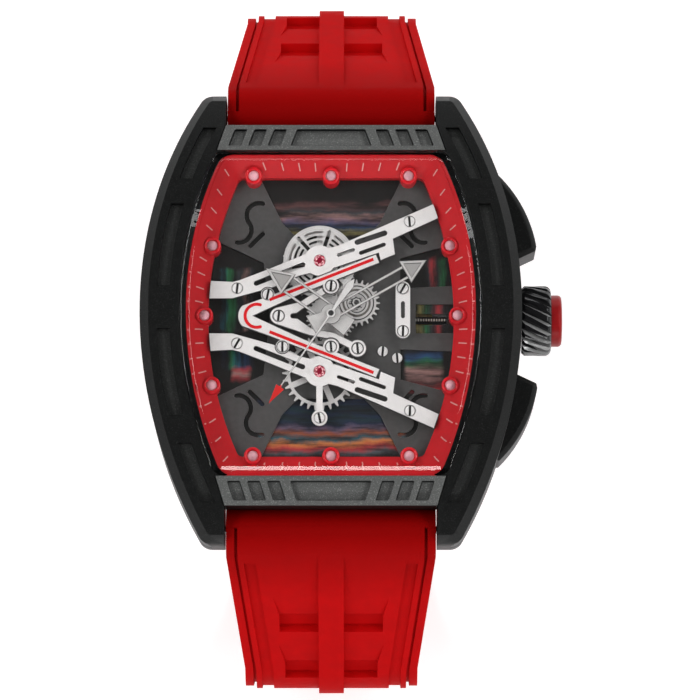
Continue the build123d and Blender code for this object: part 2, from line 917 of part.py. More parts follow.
def bridge_plate(outline, pillars, holes):
    """A bridge: its plate, cut off inside the ring, its pillars, and its screws' holes."""
    limit = barrel(
        window_half_width - part_gap,
        window_half_length - part_gap,
        window_side_radius,
        dial_corner_radius,
    )
    for place in marker_places():
        limit -= Pos(*place) * Circle(cup_radius + part_gap)
    plate = layer(outline & limit, bridge_bottom, bridge_top)
    for place in pillars:
        plate += pillar(place)
    for place in holes:
        plate -= disc(screw_shaft_radius, 0, bridge_top, place)
        plate -= disc(
            screw_head_radius + screw_seat_gap, bridge_top - screw_head_height, case_height, place
        )
    return plate


def hub_cuts(hub):
    """The jewel's seat over a wheel's pivot hole."""
    cut = disc(pivot_radius + running_gap, bridge_bottom, bridge_top, hub)
    return cut + disc(setting_radius, bridge_top - setting_depth, case_height, hub)


def nose_outline():
    """The V of the nose bridge: a rounded nose, two arms, two tabs outside and two lobes inside."""
    size = window_half_width
    upper = scaled(nose_shares, size)
    lower = mirrored(upper)
    tip = ThreePointArc(lower[-1], (nose_tip_share * size, 0), upper[-1])
    outline = make_face(Polyline(*upper) + tip + Polyline(*lower))
    for share in (nose_screw_share, nose_low_screw_share):
        outline += Pos(*shared(share)) * Circle(nose_tab_radius)
    for share in nose_lobe_shares:
        outline += Pos(*shared(share)) * Circle(nose_lobe_radius)
    return outline


def main_bridge(side):
    """A main bridge, at 12 or at 6, with its hub and its slots."""
    size = window_half_width
    points = scaled(bridge_shares, size)
    outline = polygon(points) + Pos(*upper_hub) * Circle(hub_radius)
    for start, end, width_share in bridge_slot_shares:
        outline -= slot(shared(start), shared(end), width_share * size)
    if side == -1:
        outline = mirror(outline, Plane.XZ)
        foot = link(lower_hub, foot_half_width, shared(foot_share), foot_half_width)
        outline += foot + Pos(*shared(foot_share)) * Circle(foot_radius)
    outline -= offset(nose_outline(), bridge_gap)
    screws = scaled(upper_screw_shares, size)
    if side == -1:
        screws = mirrored(screws) + [shared(foot_share)]
    bridge = bridge_plate(outline, screws, screws)
    return bridge - hub_cuts(upper_hub if side == 1 else lower_hub)


def bridge_nose():
    tabs = [shared(nose_screw_share), shared(nose_low_screw_share)]
    lobes = scaled(nose_lobe_shares, window_half_width)
    return bridge_plate(nose_outline(), tabs + [shared(nose_pillar_share)], tabs + lobes)


def bridge_fork():
    """The forked cock: a round end, two bent arms and a hooked foot, inside the nose bridge."""
    end, knee, elbow = shared(fork_end_share), shared(fork_knee_share), shared(fork_elbow_share)
    low, hook = shared(fork_low_share), shared(fork_hook_share)
    high = shared(nose_lobe_shares[0])
    outline = link(end, fork_end_radius, knee, fork_arm_radius)
    outline += link(knee, fork_arm_radius, high, fork_arm_radius)
    outline += link(end, fork_end_radius, elbow, fork_arm_radius)
    outline += link(elbow, fork_arm_radius, low, fork_arm_radius)
    outline += link(low, fork_arm_radius, hook, fork_arm_radius)
    outline += Pos(*hook) * Circle(fork_end_radius)
    outline -= link(shared(fork_throat_share), fork_throat_radius, (elbow[0], 0), fork_arm_radius)
    outline -= offset(nose_outline(), bridge_gap)
    outline = outline.faces().sort_by(SortBy.AREA)[-1]
    return bridge_plate(Sketch() + outline, [end, hook], [end, hook])


def bridge_cock():
    """A plain slotted cock at the right."""
    high, low = scaled(cock_ends_shares, window_half_width)
    outline = link(high, cock_radius, low, cock_radius)
    reach = 2 * cock_radius
    outline -= slot((high[0], high[1] - reach), (low[0], low[1] + reach), cock_slot_width)
    return bridge_plate(outline, [high, low], [high, low])


def red_inlays():
    size = window_half_width
    start, end = scaled(inlay_line_shares, size)
    bars = []
    for line in ((start, end), mirrored((start, end))):
        reach = Vector(*line[1]) - Vector(*line[0])
        middle = ((line[0][0] + line[1][0]) / 2, (line[0][1] + line[1][1]) / 2)
        outline = Pos(*middle) * Rot(0, 0, bearing_of((reach.X, reach.Y))) * Rectangle(
            reach.length, inlay_width
        )
        bars.append(layer(outline, bridge_top, bridge_top + inlay_height).solid())
    curve = SlotArc(ThreePointArc(*scaled(inlay_curve_shares, size)), inlay_width)
    bars.append(layer(curve, bridge_top, bridge_top + inlay_height).solid())
    return Compound(bars)


def jewel_settings():
    rings = []
    for hub in (upper_hub, lower_hub):
        ring = tube(setting_radius, jewel_radius, bridge_top - setting_depth, bridge_top + screw_proud, hub)
        rings.append(ring.solid())
    return Compound(rings)


jewel_sides = 8
jewel_table_share = 0.55


def jewels():
    """Faceted stones: an octagonal crown over a round girdle."""
    stones = []
    for hub in (upper_hub, lower_hub):
        girdle = disc(jewel_radius, bridge_top - setting_depth, bridge_top, hub)
        low = Pos(*hub, bridge_top) * RegularPolygon(jewel_radius, jewel_sides)
        high = Pos(*hub, bridge_top + jewel_rise) * RegularPolygon(
            jewel_radius * jewel_table_share, jewel_sides
        )
        stones.append((girdle + loft([low, high], ruled=True)).solid())
    return Compound(stones)


# Hands
hour_bearing = 144.3
minute_bearing = 29.5
seconds_bearing = 235.7
hour_reach = 9.1
hour_arrow_base = 5.95
minute_reach = 12.5
minute_arrow_base = 9.7
arrow_half_width = 1.42
hour_rail_spread = 0.95
minute_rail_spread = 0.65
rail_width = 0.3
tail_reach = 2.6
tail_half_width = 1.1
hand_hub_radius = 1.15
arrow_inset = 0.32
arrow_frame_height = 0.12
seconds_reach = 12.5
seconds_arrow_base = 10.2
seconds_arrow_half = 0.52
seconds_root_half = 0.14
seconds_tip_half = 0.08
seconds_tail = 4.8
seconds_tail_belly = 3.9
seconds_tail_half = 0.45
seconds_hub_radius = 0.55
seconds_cap_height = 0.3
seconds_cap_radius = 0.28


def skeleton_hand(reach, arrow_base, spread, bore, bottom):
    """A hand of two rails with an arrowhead and a short broad tail, pointing along +X."""
    top = bottom + hand_thickness
    outline = Circle(hand_hub_radius)
    start = -tail_reach
    outline += polygon(
        [
            (start, -tail_half_width),
            (-tail_half_width / 2, -spread),
            (spread, -spread - rail_width / 2),
            (spread, spread + rail_width / 2),
            (-tail_half_width / 2, spread),
            (start, tail_half_width),
        ]
    )
    for side in (1, -1):
        outline += Pos(arrow_base / 2, side * spread) * Rectangle(arrow_base, rail_width)
    arrow = polygon([(arrow_base, -arrow_half_width), (reach, 0), (arrow_base, arrow_half_width)])
    hand = layer(outline + arrow, bottom, top)
    recess = offset(arrow, -arrow_inset, kind=Kind.INTERSECTION)
    hand += layer(arrow - recess, top, top + arrow_frame_height)
    return hand - disc(bore, 0, case_height)


def hour_hand():
    hand = skeleton_hand(
        hour_reach, hour_arrow_base, hour_rail_spread, hour_tube_outer, hour_hand_bottom
    )
    return Rot(0, 0, hour_bearing) * hand


def minute_hand():
    hand = skeleton_hand(
        minute_reach, minute_arrow_base, minute_rail_spread, cannon_outer, minute_hand_bottom
    )
    return Rot(0, 0, minute_bearing) * hand


def seconds_hand():
    """A needle with a small arrowhead and a blade-shaped counterweight."""
    outline = polygon(
        [
            (0, -seconds_root_half),
            (seconds_arrow_base, -seconds_tip_half),
            (seconds_arrow_base, seconds_tip_half),
            (0, seconds_root_half),
        ]
    )
    outline += polygon(
        [
            (seconds_arrow_base, -seconds_arrow_half),
            (seconds_reach, 0),
            (seconds_arrow_base, seconds_arrow_half),
        ]
    )
    outline += polygon(
        [
            (0, -seconds_root_half),
            (0, seconds_root_half),
            (-seconds_tail_belly, seconds_tail_half),
            (-seconds_tail, 0),
            (-seconds_tail_belly, -seconds_tail_half),
        ]
    )
    outline += Circle(seconds_hub_radius)
    hand = layer(outline, seconds_hand_bottom, seconds_hand_bottom + hand_thickness)
    cap_top = seconds_hand_bottom + seconds_cap_height
    hand += disc(seconds_cap_radius, seconds_hand_bottom, cap_top)
    hand -= disc(seconds_arbor_radius, 0, seconds_hand_bottom + hand_thickness)
    return Rot(0, 0, seconds_bearing) * hand


# Movement under the dial
plate_top = 4.2
plate_bottom = 2.5
seconds_arbor_bottom = 3.4


def seconds_arbor():
    return disc(
        seconds_arbor_radius, seconds_arbor_bottom, seconds_hand_bottom + hand_thickness
    )


plate_radius = 11.6
centre_boss_radius = 1.4
battery_radius = 4.75
battery_height = 2.0
battery_place = (-5.1, -4.3)
battery_gap = 0.1
contact_thickness = 0.2
contact_width = 3.0
contact_reach = 6.2
coil_place = (4.3, -6.3)
coil_length = 6.4
coil_radius = 1.0
coil_core_half = 0.4
coil_height = 2.85
coil_lug_length = 1.1
coil_gap = 0.15
board_thickness = 0.25
board_outer = 11.0
board_inner = 2.2
lever_thickness = 0.3
lever_length = 3.2
lever_width = 1.6
lever_finger = 0.4
groove_depth = 0.15
groove_start = 8.4
stem_inner_end = 7.4
channel_half_width = 0.75
holder_lip = 0.4


def stem_rod(radius, start, end):
    """A round bar along the crown's axis."""
    return Pos((start + end) / 2, 0, crown_height) * Rot(0, 90, 0) * Cylinder(radius, end - start)


def movement_holder():
    """The moulded ring that fills the barrel-shaped case round the movement and carries its plate."""
    outline = barrel(
        cavity_half_width - part_gap,
        cavity_half_length - part_gap,
        dial_side_radius,
        cavity_corner_radius,
    )
    holder = layer(outline, back_thickness, dial_seat_height - running_gap)
    holder -= disc(plate_radius + running_gap, plate_bottom, dial_seat_height)
    holder -= disc(plate_radius - holder_lip, 0, plate_bottom)
    holder -= disc(battery_radius + battery_gap, 0, plate_bottom, battery_place)
    channel_bottom = plate_top + running_gap
    channel_length = cavity_half_width
    holder -= Pos(channel_length, 0, (channel_bottom + dial_seat_height) / 2) * Box(
        channel_length, 2 * channel_half_width, dial_seat_height - channel_bottom
    )
    for side in (1, -1):
        room = pusher_rod(
            pusher_clip_radius + 2 * part_gap, pusher_rod_end - pusher_travel - part_gap, 0
        )
        holder -= pusher_place(side).location * room
    return holder


def main_plate():
    """The movement's plate, with a central boss and pockets for the battery and the coil."""
    plate = disc(plate_radius, plate_bottom, plate_top)
    plate += disc(centre_boss_radius, plate_bottom, dial_seat_height - running_gap)
    plate -= disc(cannon_outer + running_gap, plate_top + running_gap, dial_seat_height)
    pocket_top = battery_bottom + battery_height + battery_gap / 2
    plate -= disc(battery_radius + battery_gap, 0, pocket_top, battery_place)
    plate -= disc(seconds_arbor_radius + running_gap, seconds_arbor_bottom, plate_top + overrun)
    room = coil_radius + coil_gap
    plate -= Pos(*coil_place, coil_height) * Box(coil_length + 2 * coil_gap, 2 * room, 2 * room)
    plate -= Pos(*coil_place, coil_height) * Box(
        coil_length + 2 * (coil_lug_length + coil_gap), 2 * room, 2 * coil_core_half
    )
    return plate


battery_bottom = back_thickness + contact_thickness + part_gap


def battery():
    can = disc(battery_radius, battery_bottom, battery_bottom + battery_height, battery_place)
    rims = can.edges().filter_by(GeomType.CIRCLE)
    return chamfer(rims, battery_gap)


def battery_contact():
    """The sprung strip under the battery, held at the plate by its raised end."""
    x, y = battery_place
    strip = slot(battery_place, (x, y + contact_reach), contact_width)
    contact = layer(strip, battery_bottom - contact_thickness, battery_bottom)
    stand = (x, y + contact_reach + contact_width / 4)
    return contact + disc(contact_width / 4, battery_bottom - contact_thickness, board_bottom, stand)


board_bottom = plate_bottom - board_thickness


def coil():
    """The coil: a wound body between two flat lugs of its core."""
    x, y = coil_place
    wound = Pos(x, y, coil_height) * Rot(0, 90, 0) * Cylinder(coil_radius, coil_length)
    core = Pos(x, y, coil_height) * Box(
        coil_length + 2 * coil_lug_length, 2 * coil_radius, 2 * coil_core_half
    )
    return wound + core


def circuit_board():
    """A half ring of board under the plate, clear of the battery and the coil."""
    ring = Circle(board_outer) - Circle(board_inner)
    ring &= Pos(0, board_outer / 2) * Rectangle(2 * board_outer, board_outer)
    ring -= Pos(*battery_place) * Circle(battery_radius + 2 * battery_gap)
    return layer(ring, board_bottom, plate_bottom)


def setting_lever():
    """The lever that follows the stem's groove when the crown is pulled."""
    bottom = plate_top + running_gap
    x = groove_start + groove_width / 2
    y = (lever_length + lever_width) / 2
    blade = Pos(x, -y + lever_width / 2, bottom + lever_thickness / 2) * Box(
        lever_width, lever_length, lever_thickness
    )
    slit = Pos(x, 0, crown_height) * Box(
        lever_finger, 2 * (stem_radius + lever_finger), 2 * (crown_height - bottom)
    )
    slit &= layer(Rectangle(2 * case_half_width, 2 * case_half_width), bottom, dial_seat_height - running_gap)
    yoke = slit - stem_rod(stem_radius - groove_depth + running_gap, 0, case_half_width)
    yoke -= Pos(x, 0, crown_height + stem_radius) * Box(
        lever_width, 2 * (stem_radius - groove_depth + running_gap), 2 * stem_radius
    )
    return blade + yoke


groove_width = lever_finger + 2 * running_gap


# Case back
back_margin = 0.1
screw_recess_radius = 0.95
back_head_radius = 0.85
back_head_height = 0.6
back_slot_width = 0.25
back_slot_depth = 0.25
back_edge = 0.3


def case_back():
    outline = barrel(
        cavity_half_width + back_recess_margin - back_margin,
        cavity_half_length + back_recess_margin - back_margin,
        dial_side_radius,
        cavity_corner_radius / 2,
    )
    back = layer(outline, 0, back_thickness)
    rim = back.faces().sort_by(Axis.Z)[0].edges()
    back = chamfer(rim, back_edge)
    for place in back_screw_places():
        back -= disc(back_screw_radius + running_gap, 0, back_thickness, place)
        back -= disc(screw_recess_radius, 0, back_edge + back_head_height, place)
    return back


def case_back_gasket():
    outline = barrel(
        cavity_half_width + back_recess_margin - back_margin,
        cavity_half_length + back_recess_margin - back_margin,
        dial_side_radius,
        cavity_corner_radius / 2,
    )
    outline -= cavity_outline
    for place in back_screw_places():
        outline -= Pos(*place) * Circle(back_screw_radius + running_gap)
    return layer(outline, back_thickness, recess_top)


def case_back_screws():
    screws = []
    for place in back_screw_places():
        head_top = back_edge + back_head_height
        body = disc(back_head_radius, back_edge, head_top)
        body += disc(back_screw_radius, head_top, recess_top + back_screw_depth - part_gap)
        body -= Pos(0, 0, back_edge + back_slot_depth / 2) * Box(
            2 * (back_head_radius + overrun), back_slot_width, back_slot_depth
        )
        screws.append((Pos(*place) * body).solid())
    return Compound(screws)


# Crown, stem and tube
crown_start = case_half_width + 0.15
crown_flutes = 22
flute_share = 0.88
flute_twist = 26.0
crown_rounding = 0.7
crown_boss_radius = 0.9
crown_boss_length = 2.2
crown_tube_end = dial_half_width + part_gap
cap_radius = 2.95
cap_length = 1.2
cap_seat = 0.35
cap_rounding = 0.45
crown_end = crown_start + crown_length


def crown():
    """The fluted crown, with a boss that runs in the tube."""
    step = 360 / crown_flutes
    points = []
    for index in range(crown_flutes):
        points.append(turned(crown_radius, index * step - step * 0.22))
        points.append(turned(crown_radius, index * step + step * 0.22))
        points.append(turned(crown_radius * flute_share, index * step + step / 2))
    twisted = Solid.extrude_linear_with_rotation(
        polygon(points).face(), (0, 0, 0), (0, 0, crown_length), flute_twist
    )
    rounded = Cylinder(crown_radius, crown_length, align=(Align.CENTER, Align.CENTER, Align.MIN))
    rims = rounded.edges().filter_by(GeomType.CIRCLE)
    rounded = fillet(rims.sort_by(Axis.Z)[-1], crown_rounding)
    rounded = chamfer(rounded.edges().filter_by(GeomType.CIRCLE).sort_by(Axis.Z)[0], crown_rounding / 2)
    head = rounded & twisted
    head -= Pos(0, 0, crown_length) * Cylinder(cap_radius, 2 * cap_seat)
    head = Pos(crown_start, 0, crown_height) * Rot(0, 90, 0) * head
    head += stem_rod(crown_boss_radius, crown_start - crown_boss_length, crown_start + crown_rounding)
    return head - stem_rod(stem_radius, 0, crown_start)


def crown_cap():
    length = cap_length + cap_seat
    cap = Cylinder(cap_radius, length, align=(Align.CENTER, Align.CENTER, Align.MIN))
    rim = cap.edges().filter_by(GeomType.CIRCLE).sort_by(Axis.Z)[-1]
    cap = fillet(rim, cap_rounding)
    return Pos(crown_end - cap_seat, 0, crown_height) * Rot(0, 90, 0) * cap


def crown_tube():
    outer = stem_rod(crown_tube_radius, crown_tube_end, case_half_width - part_gap)
    return outer - stem_rod(crown_boss_radius + running_gap, 0, case_half_width)


def winding_stem():
    stem = stem_rod(stem_radius, stem_inner_end, crown_start)
    groove = stem_rod(2 * stem_radius, groove_start, groove_start + groove_width)
    groove -= stem_rod(stem_radius - groove_depth, 0, case_half_width)
    return stem - groove


# Pushers
pusher_tip_proud = 2.35
pusher_crown_shares = ((0, 0.5), (0.85, 0.03), (1.0, -0.4))
pusher_foot_shares = ((1.0, -0.4), (0.9, -0.45), (-0.1, -0.5))
pusher_edge = 0.5
pusher_groove_radius = 0.65


def pusher(side):
    """A wedge-shaped pusher with its stem, out from its pocket in the case wall."""
    crest = [(x * pusher_tip_proud, y * pusher_length) for x, y in pusher_crown_shares]
    foot = [(x * pusher_tip_proud, y * pusher_length) for x, y in pusher_foot_shares]
    foot.append((pusher_inner, -pusher_length / 2))
    foot.append((pusher_inner, pusher_length / 2))
    foot.append(crest[0])
    outline = make_face(ThreePointArc(*crest) + Polyline(*foot))
    wedge = extrude(outline, amount=pusher_height / 2, both=True)
    outer = [
        edge
        for edge in wedge.edges()
        if abs(edge.center().Z) > pusher_height / 2 - part_gap
        and edge.center().X > 0
    ]
    wedge = chamfer(outer, pusher_edge)
    wedge += pusher_rod(pusher_stem_radius, pusher_rod_end, pusher_inner)
    groove = pusher_rod(
        2 * pusher_stem_radius, pusher_clip_place, pusher_clip_place + pusher_clip_thickness
    )
    wedge -= groove - pusher_rod(pusher_groove_radius, pusher_rod_end, 0)
    if side == -1:
        wedge = mirror(wedge, Plane.XZ)
    return pusher_place(side).location * wedge


def pusher_clip(side):
    clip = pusher_rod(
        pusher_clip_radius, pusher_clip_place, pusher_clip_place + pusher_clip_thickness
    )
    clip -= pusher_rod(pusher_groove_radius, pusher_rod_end, 0)
    return pusher_place(side).location * clip


def pusher_spring(side):
    """The return spring, as the sleeve that its coils fill."""
    floor = pusher_pocket_floor - pusher_spring_room
    spring = pusher_rod(pusher_spring_radius, floor, pusher_inner)
    spring -= pusher_rod(pusher_stem_radius + running_gap, floor - overrun, 0)
    return pusher_place(side).location * spring


# Strap halves
edge_rib_width = 0.95
edge_rib_drop = 0.3
edge_groove_width = 0.35
edge_groove_depth = 0.75
second_rib_width = 0.65
side_recess_width = 1.35
side_recess_depth = 0.35
side_recess_top = 5.1
pattern_end = -19.0
centre_rib_half = 1.45
centre_rib_height = 0.6
centre_rib_fade = 4.5
cross_slot_height = 2.6
cross_slot_depth = 1.1
cross_slots = ((11.0, 5.95), (18.7, 5.35))
slot_ramp_length = 3.0
slot_ramp_flare = 0.7
slot_ramp_depth = 0.4
taper_top = 5.5
tail_end = 21.5
tail_tip_radius = 6.0
tail_hole_count = 6
tail_hole_pitch = 6.5
tail_hole_first = 20.0
tail_hole_radius = 1.1
thin_start = 9.0
buckle_y = 17.0
tang_notch_width = 3.2
tang_notch_depth = 3.4

outer_angle = 90.0 - strap_slope
strap_top = turned(strap_end_radius, outer_angle, strap_end_centre)
bend_start = turned(strap_straight, -strap_slope, strap_top)
bend_centre = turned(-strap_bend_radius, outer_angle, bend_start)
fall_top = turned(strap_bend_radius, -strap_lean, bend_centre)
fall_bottom = turned(strap_fall, -90.0 - strap_lean, fall_top)
floor_centre = turned(-strap_floor_radius, -strap_lean, fall_bottom)
floor_z = floor_centre[1] - strap_floor_radius
bend_length = math.radians(outer_angle + strap_lean) * strap_bend_radius
floor_length = math.radians(90.0 - strap_lean) * strap_floor_radius
strap_inner_z = floor_z + strap_thickness
buckle_z = floor_z + strap_thickness / 2
strap_taper_end = bend_start[1]


def strap_line(offset, end_y, first_angle):
    """The strap's outer line, moved outwards by an offset, from its top end to a place on the floor."""
    return (
        arc(strap_end_centre, strap_end_radius + offset, first_angle, outer_angle)
        + Line(turned(offset, outer_angle, strap_top), turned(offset, outer_angle, bend_start))
        + arc(bend_centre, strap_bend_radius + offset, outer_angle, -strap_lean)
        + Line(turned(offset, -strap_lean, fall_top), turned(offset, -strap_lean, fall_bottom))
        + arc(floor_centre, strap_floor_radius + offset, -strap_lean, -90)
        + Line((floor_centre[0], floor_z - offset), (end_y, floor_z - offset))
    )


def strap_skin(outside, inside, end_y):
    """The layer of the strap between two offsets from its outer face, right across its width."""
    first = 100.0
    outer = strap_line(outside, end_y, first)
    inner = strap_line(-inside, end_y, first)
    ends = Line(
        turned(strap_end_radius + outside, first, strap_end_centre),
        turned(strap_end_radius - inside, first, strap_end_centre),
    ) + Line((end_y, floor_z - outside), (end_y, floor_z + inside))
    return slab(make_face(outer + inner + ends), strap_lug_width + strap_width)


def strap_profile(end_y):
    """The side view of a strap half, with its round end in the lugs."""
    back = -strap_thickness
    thin_outer = turned(thin_start, -strap_slope, strap_top)
    thin_point = turned(back, outer_angle, thin_outer)
    reach = Vector(*thin_point) - Vector(*strap_end_centre)
    lean = math.degrees(math.acos(strap_end_radius / reach.length))
    touch = bearing_of((reach.X, reach.Y)) - lean
    inner = (
        arc(bend_centre, strap_bend_radius + back, outer_angle, -strap_lean)
        + Line(turned(back, -strap_lean, fall_top), turned(back, -strap_lean, fall_bottom))
        + arc(floor_centre, strap_floor_radius + back, -strap_lean, -90)
        + Line((floor_centre[0], strap_inner_z), (end_y, strap_inner_z))
        + Line(turned(back, outer_angle, bend_start), thin_point)
        + Line(thin_point, turned(strap_end_radius, touch, strap_end_centre))
        + arc(strap_end_centre, strap_end_radius, touch, outer_angle - 360 + 50)
    )
    outer = strap_line(0, end_y, outer_angle + 50)
    end = Line((end_y, floor_z), (end_y, strap_inner_z))
    return make_face(outer + inner + end)


def strap_edge(inset):
    """Half widths of the strap down its length, drawn in by an inset, as X and Z."""
    low = floor_z - overrun
    high = strap_end_centre[1] + 2 * strap_end_radius
    lug_half = strap_lug_width / 2 - inset
    half = strap_width / 2 - inset
    return [(lug_half, high), (lug_half, taper_top), (half, strap_taper_end), (half, low)]


def strap_strip(outer_inset, inner_inset, high, low):
    """A strip along each side of the strap, between two insets and two heights."""
    reach = 3 * strap_width
    outer = strap_edge(outer_inset)
    inner = strap_edge(inner_inset)
    face = Plane.XZ * polygon(outer + inner[::-1])
    strip = extrude(face, amount=reach, both=True)
    window = Pos(0, 0, (high + low) / 2) * Box(2 * reach, 2 * reach, high - low)
    strip &= window
    return strip + mirror(strip, Plane.YZ)


def strap_frame(distance):
    """A place on the strap's outer face, at a distance from its top, with the way out and the way down."""
    if distance <= strap_straight:
        return turned(distance, -strap_slope, strap_top), outer_angle
    distance -= strap_straight
    if distance <= bend_length:
        angle = outer_angle - math.degrees(distance / strap_bend_radius)
        return turned(strap_bend_radius, angle, bend_centre), angle
    distance -= bend_length
    if distance <= strap_fall:
        return turned(distance, -90.0 - strap_lean, fall_top), -strap_lean
    distance -= strap_fall
    if distance <= floor_length:
        angle = -strap_lean - math.degrees(distance / strap_floor_radius)
        return turned(strap_floor_radius, angle, floor_centre), angle
    return (floor_centre[0] - (distance - floor_length), floor_z), -90.0


def on_strap(distance, shape):
    """Put a shape on the strap: its Z is the way out of the outer face, its X stays across."""
    (y, z), angle = strap_frame(distance)
    out = (0, math.cos(math.radians(angle)), math.sin(math.radians(angle)))
    return Plane(origin=(0, y, z), x_dir=(1, 0, 0), z_dir=out).location * shape


def strap_length(end_y):
    return strap_straight + bend_length + strap_fall + floor_length + floor_centre[0] - end_y


def cross_slot(distance, half_width):
    """A slot across the strap, with a shallow ramp that widens towards the case."""
    cut = Box(2 * half_width, cross_slot_height, 2 * cross_slot_depth)
    near = -cross_slot_height / 2
    far = near - slot_ramp_length
    section = polygon([(near, 0), (near, -slot_ramp_depth), (far, 0), (far, overrun), (near, overrun)])
    flare = half_width + slot_ramp_flare
    plan = polygon([(-half_width, near), (half_width, near), (flare, far), (-flare, far)])
    ramp = slab(section, 2 * strap_width) & layer(plan, -overrun, 2 * overrun)
    return on_strap(distance, cut + ramp)


def centre_rib(end_y):
    """The raised rib down the middle, which rises out of the strap near the lugs."""
    high = strap_top[1]
    rib = Pos(0, 0, (high + pattern_end) / 2) * Box(2 * centre_rib_half, 6 * strap_width, high - pattern_end)
    rib &= strap_skin(centre_rib_height, cross_slot_depth, end_y)
    foot = turned(centre_rib_fade, -strap_slope, turned(centre_rib_height, outer_angle, strap_top))
    out = turned(2 * overrun, outer_angle, strap_top)
    beyond = turned(2 * overrun, outer_angle + 90, out)
    back = turned(2 * overrun, outer_angle + 90, strap_top)
    wedge = polygon([strap_top, foot, turned(centre_rib_fade, -strap_slope, out), beyond, back])
    return rib - slab(wedge, 2 * centre_rib_half)


def strap_body(end_y):
    """A strap half at 12: the tapered band with its edge ribs, its recesses, its slots and its rib."""
    body = slab(strap_profile(end_y), strap_lug_width + strap_width)
    high = strap_end_centre[1] + 2 * strap_end_radius
    low = floor_z - overrun
    outline = strap_edge(0)
    sides = Plane.XZ * polygon(outline + [(-x, z) for x, z in outline[::-1]])
    body &= extrude(sides, amount=3 * strap_width, both=True)
    groove_inset = edge_rib_width + edge_groove_width
    recess_inset = groove_inset + second_rib_width
    body -= strap_skin(overrun, edge_rib_drop, end_y - overrun) & strap_strip(
        -overrun, edge_rib_width, high, low
    )
    body -= strap_skin(overrun, edge_groove_depth, end_y - overrun) & strap_strip(
        edge_rib_width, groove_inset, high, low
    )
    body -= strap_skin(overrun, side_recess_depth, end_y - overrun) & strap_strip(
        recess_inset, recess_inset + side_recess_width, side_recess_top, pattern_end
    )
    for distance, half_width in cross_slots:
        body -= cross_slot(distance, half_width)
    body += centre_rib(end_y)
    body -= Pos(0, pivot_y, pivot_z) * Rot(0, 90, 0) * Cylinder(
        spring_bar_radius + running_gap, 2 * case_half_width
    )
    return body


# Keepers
keeper_width = 5.0
keeper_wall = 1.0
keeper_gap = 0.2
keeper_place = 45.0
fixed_keeper_place = 58.0
keeper_rounding = 0.8


def keeper_loop(distance, gap):
    """A loop round the strap, with room outside it for the other half's tail."""
    half_inner = strap_width / 2 + keeper_gap
    inner_back = -strap_thickness - gap if gap else 0
    inner_front = strap_thickness + 2 * keeper_gap
    outer_back = -strap_thickness - gap - keeper_wall
    outer_front = inner_front + keeper_wall
    loop = Pos(0, 0, (outer_front + outer_back) / 2) * Box(
        2 * (half_inner + keeper_wall), keeper_width, outer_front - outer_back
    )
    loop = fillet(loop.edges().filter_by(Axis.Y), keeper_rounding)
    loop -= Pos(0, 0, (inner_front + inner_back) / 2) * Box(
        2 * half_inner, 2 * keeper_width, inner_front - inner_back
    )
    return on_strap(distance, loop)


def strap_12():
    """The short half, which carries the buckle and has the fixed keeper moulded on."""
    body = strap_body(buckle_y) + keeper_loop(fixed_keeper_place, 0)
    end = Pos(0, buckle_y, buckle_z) * Rot(0, 90, 0) * Cylinder(strap_thickness / 2, strap_width)
    body += end
    body -= Pos(0, buckle_y, buckle_z) * Rot(0, 90, 0) * Cylinder(
        spring_bar_radius + running_gap, 2 * strap_width
    )
    notch = Pos(0, buckle_y, buckle_z) * Box(tang_notch_width, 2 * tang_notch_depth, 2 * strap_thickness)
    return body - notch


def strap_6():
    """The long half, with a rounded tip and a row of holes."""
    tip_y = floor_centre[0] - tail_end
    body = strap_body(tip_y)
    corners = [
        edge
        for edge in body.edges().filter_by(Axis.Z)
        if edge.center().Y < tip_y + part_gap and abs(edge.center().X) > strap_width / 2 - part_gap
    ]
    body = fillet(corners, tail_tip_radius)
    length = strap_length(tip_y)
    for index in range(tail_hole_count):
        distance = length - tail_hole_first - index * tail_hole_pitch
        body -= on_strap(distance, Cylinder(tail_hole_radius, 4 * strap_thickness))
    return mirror(body, Plane.XZ)


def lug_spring_bars():
    bars = []
    for side in (1, -1):
        bar = Cylinder(spring_bar_radius, lug_gap - 2 * part_gap)
        bar += Cylinder(spring_bar_tip_radius, lug_gap + 2 * spring_bar_tip_length - 2 * part_gap)
        bars.append((Pos(0, side * pivot_y, pivot_z) * Rot(0, 90, 0) * bar).solid())
    return Compound(bars)


def keeper_free():
    return keeper_loop(keeper_place, keeper_gap)


# Buckle
buckle_side_gap = 0.3
buckle_arm_width = 2.2
buckle_front_y = 6.0
buckle_front_depth = 2.4
buckle_height = 2.9
buckle_rounding = 1.2
tang_width = 2.4
tang_thickness = 1.0
tang_tip_y = 5.4
tang_gap = 0.15
tang_eye_radius = 1.45
bar_tip_length = 1.2


def buckle_frame():
    """A U-shaped frame: two arms on the spring bar and a front bar notched for the tang."""
    half_inner = strap_width / 2 + buckle_side_gap
    half_outer = half_inner + buckle_arm_width
    back_y = buckle_y + buckle_height / 2
    length = back_y - buckle_front_y
    middle_y = (back_y + buckle_front_y) / 2
    middle_z = floor_z + buckle_height / 2
    frame = Pos(0, middle_y, middle_z) * Box(2 * half_outer, length, buckle_height)
    frame = fillet(frame.edges().filter_by(Axis.Z), buckle_rounding)
    room = length - buckle_front_depth + overrun
    frame -= Pos(0, buckle_front_y + buckle_front_depth + room / 2, middle_z) * Box(
        2 * half_inner, room, 2 * buckle_height
    )
    notch_depth = tang_thickness + tang_gap
    frame -= Pos(0, buckle_front_y, floor_z + notch_depth / 2) * Box(
        tang_width + 2 * tang_gap, 4 * buckle_front_depth, notch_depth
    )
    frame -= Pos(0, buckle_y, buckle_z) * Rot(0, 90, 0) * Cylinder(
        spring_bar_tip_radius + running_gap, 2 * (half_inner + bar_tip_length)
    )
    return frame


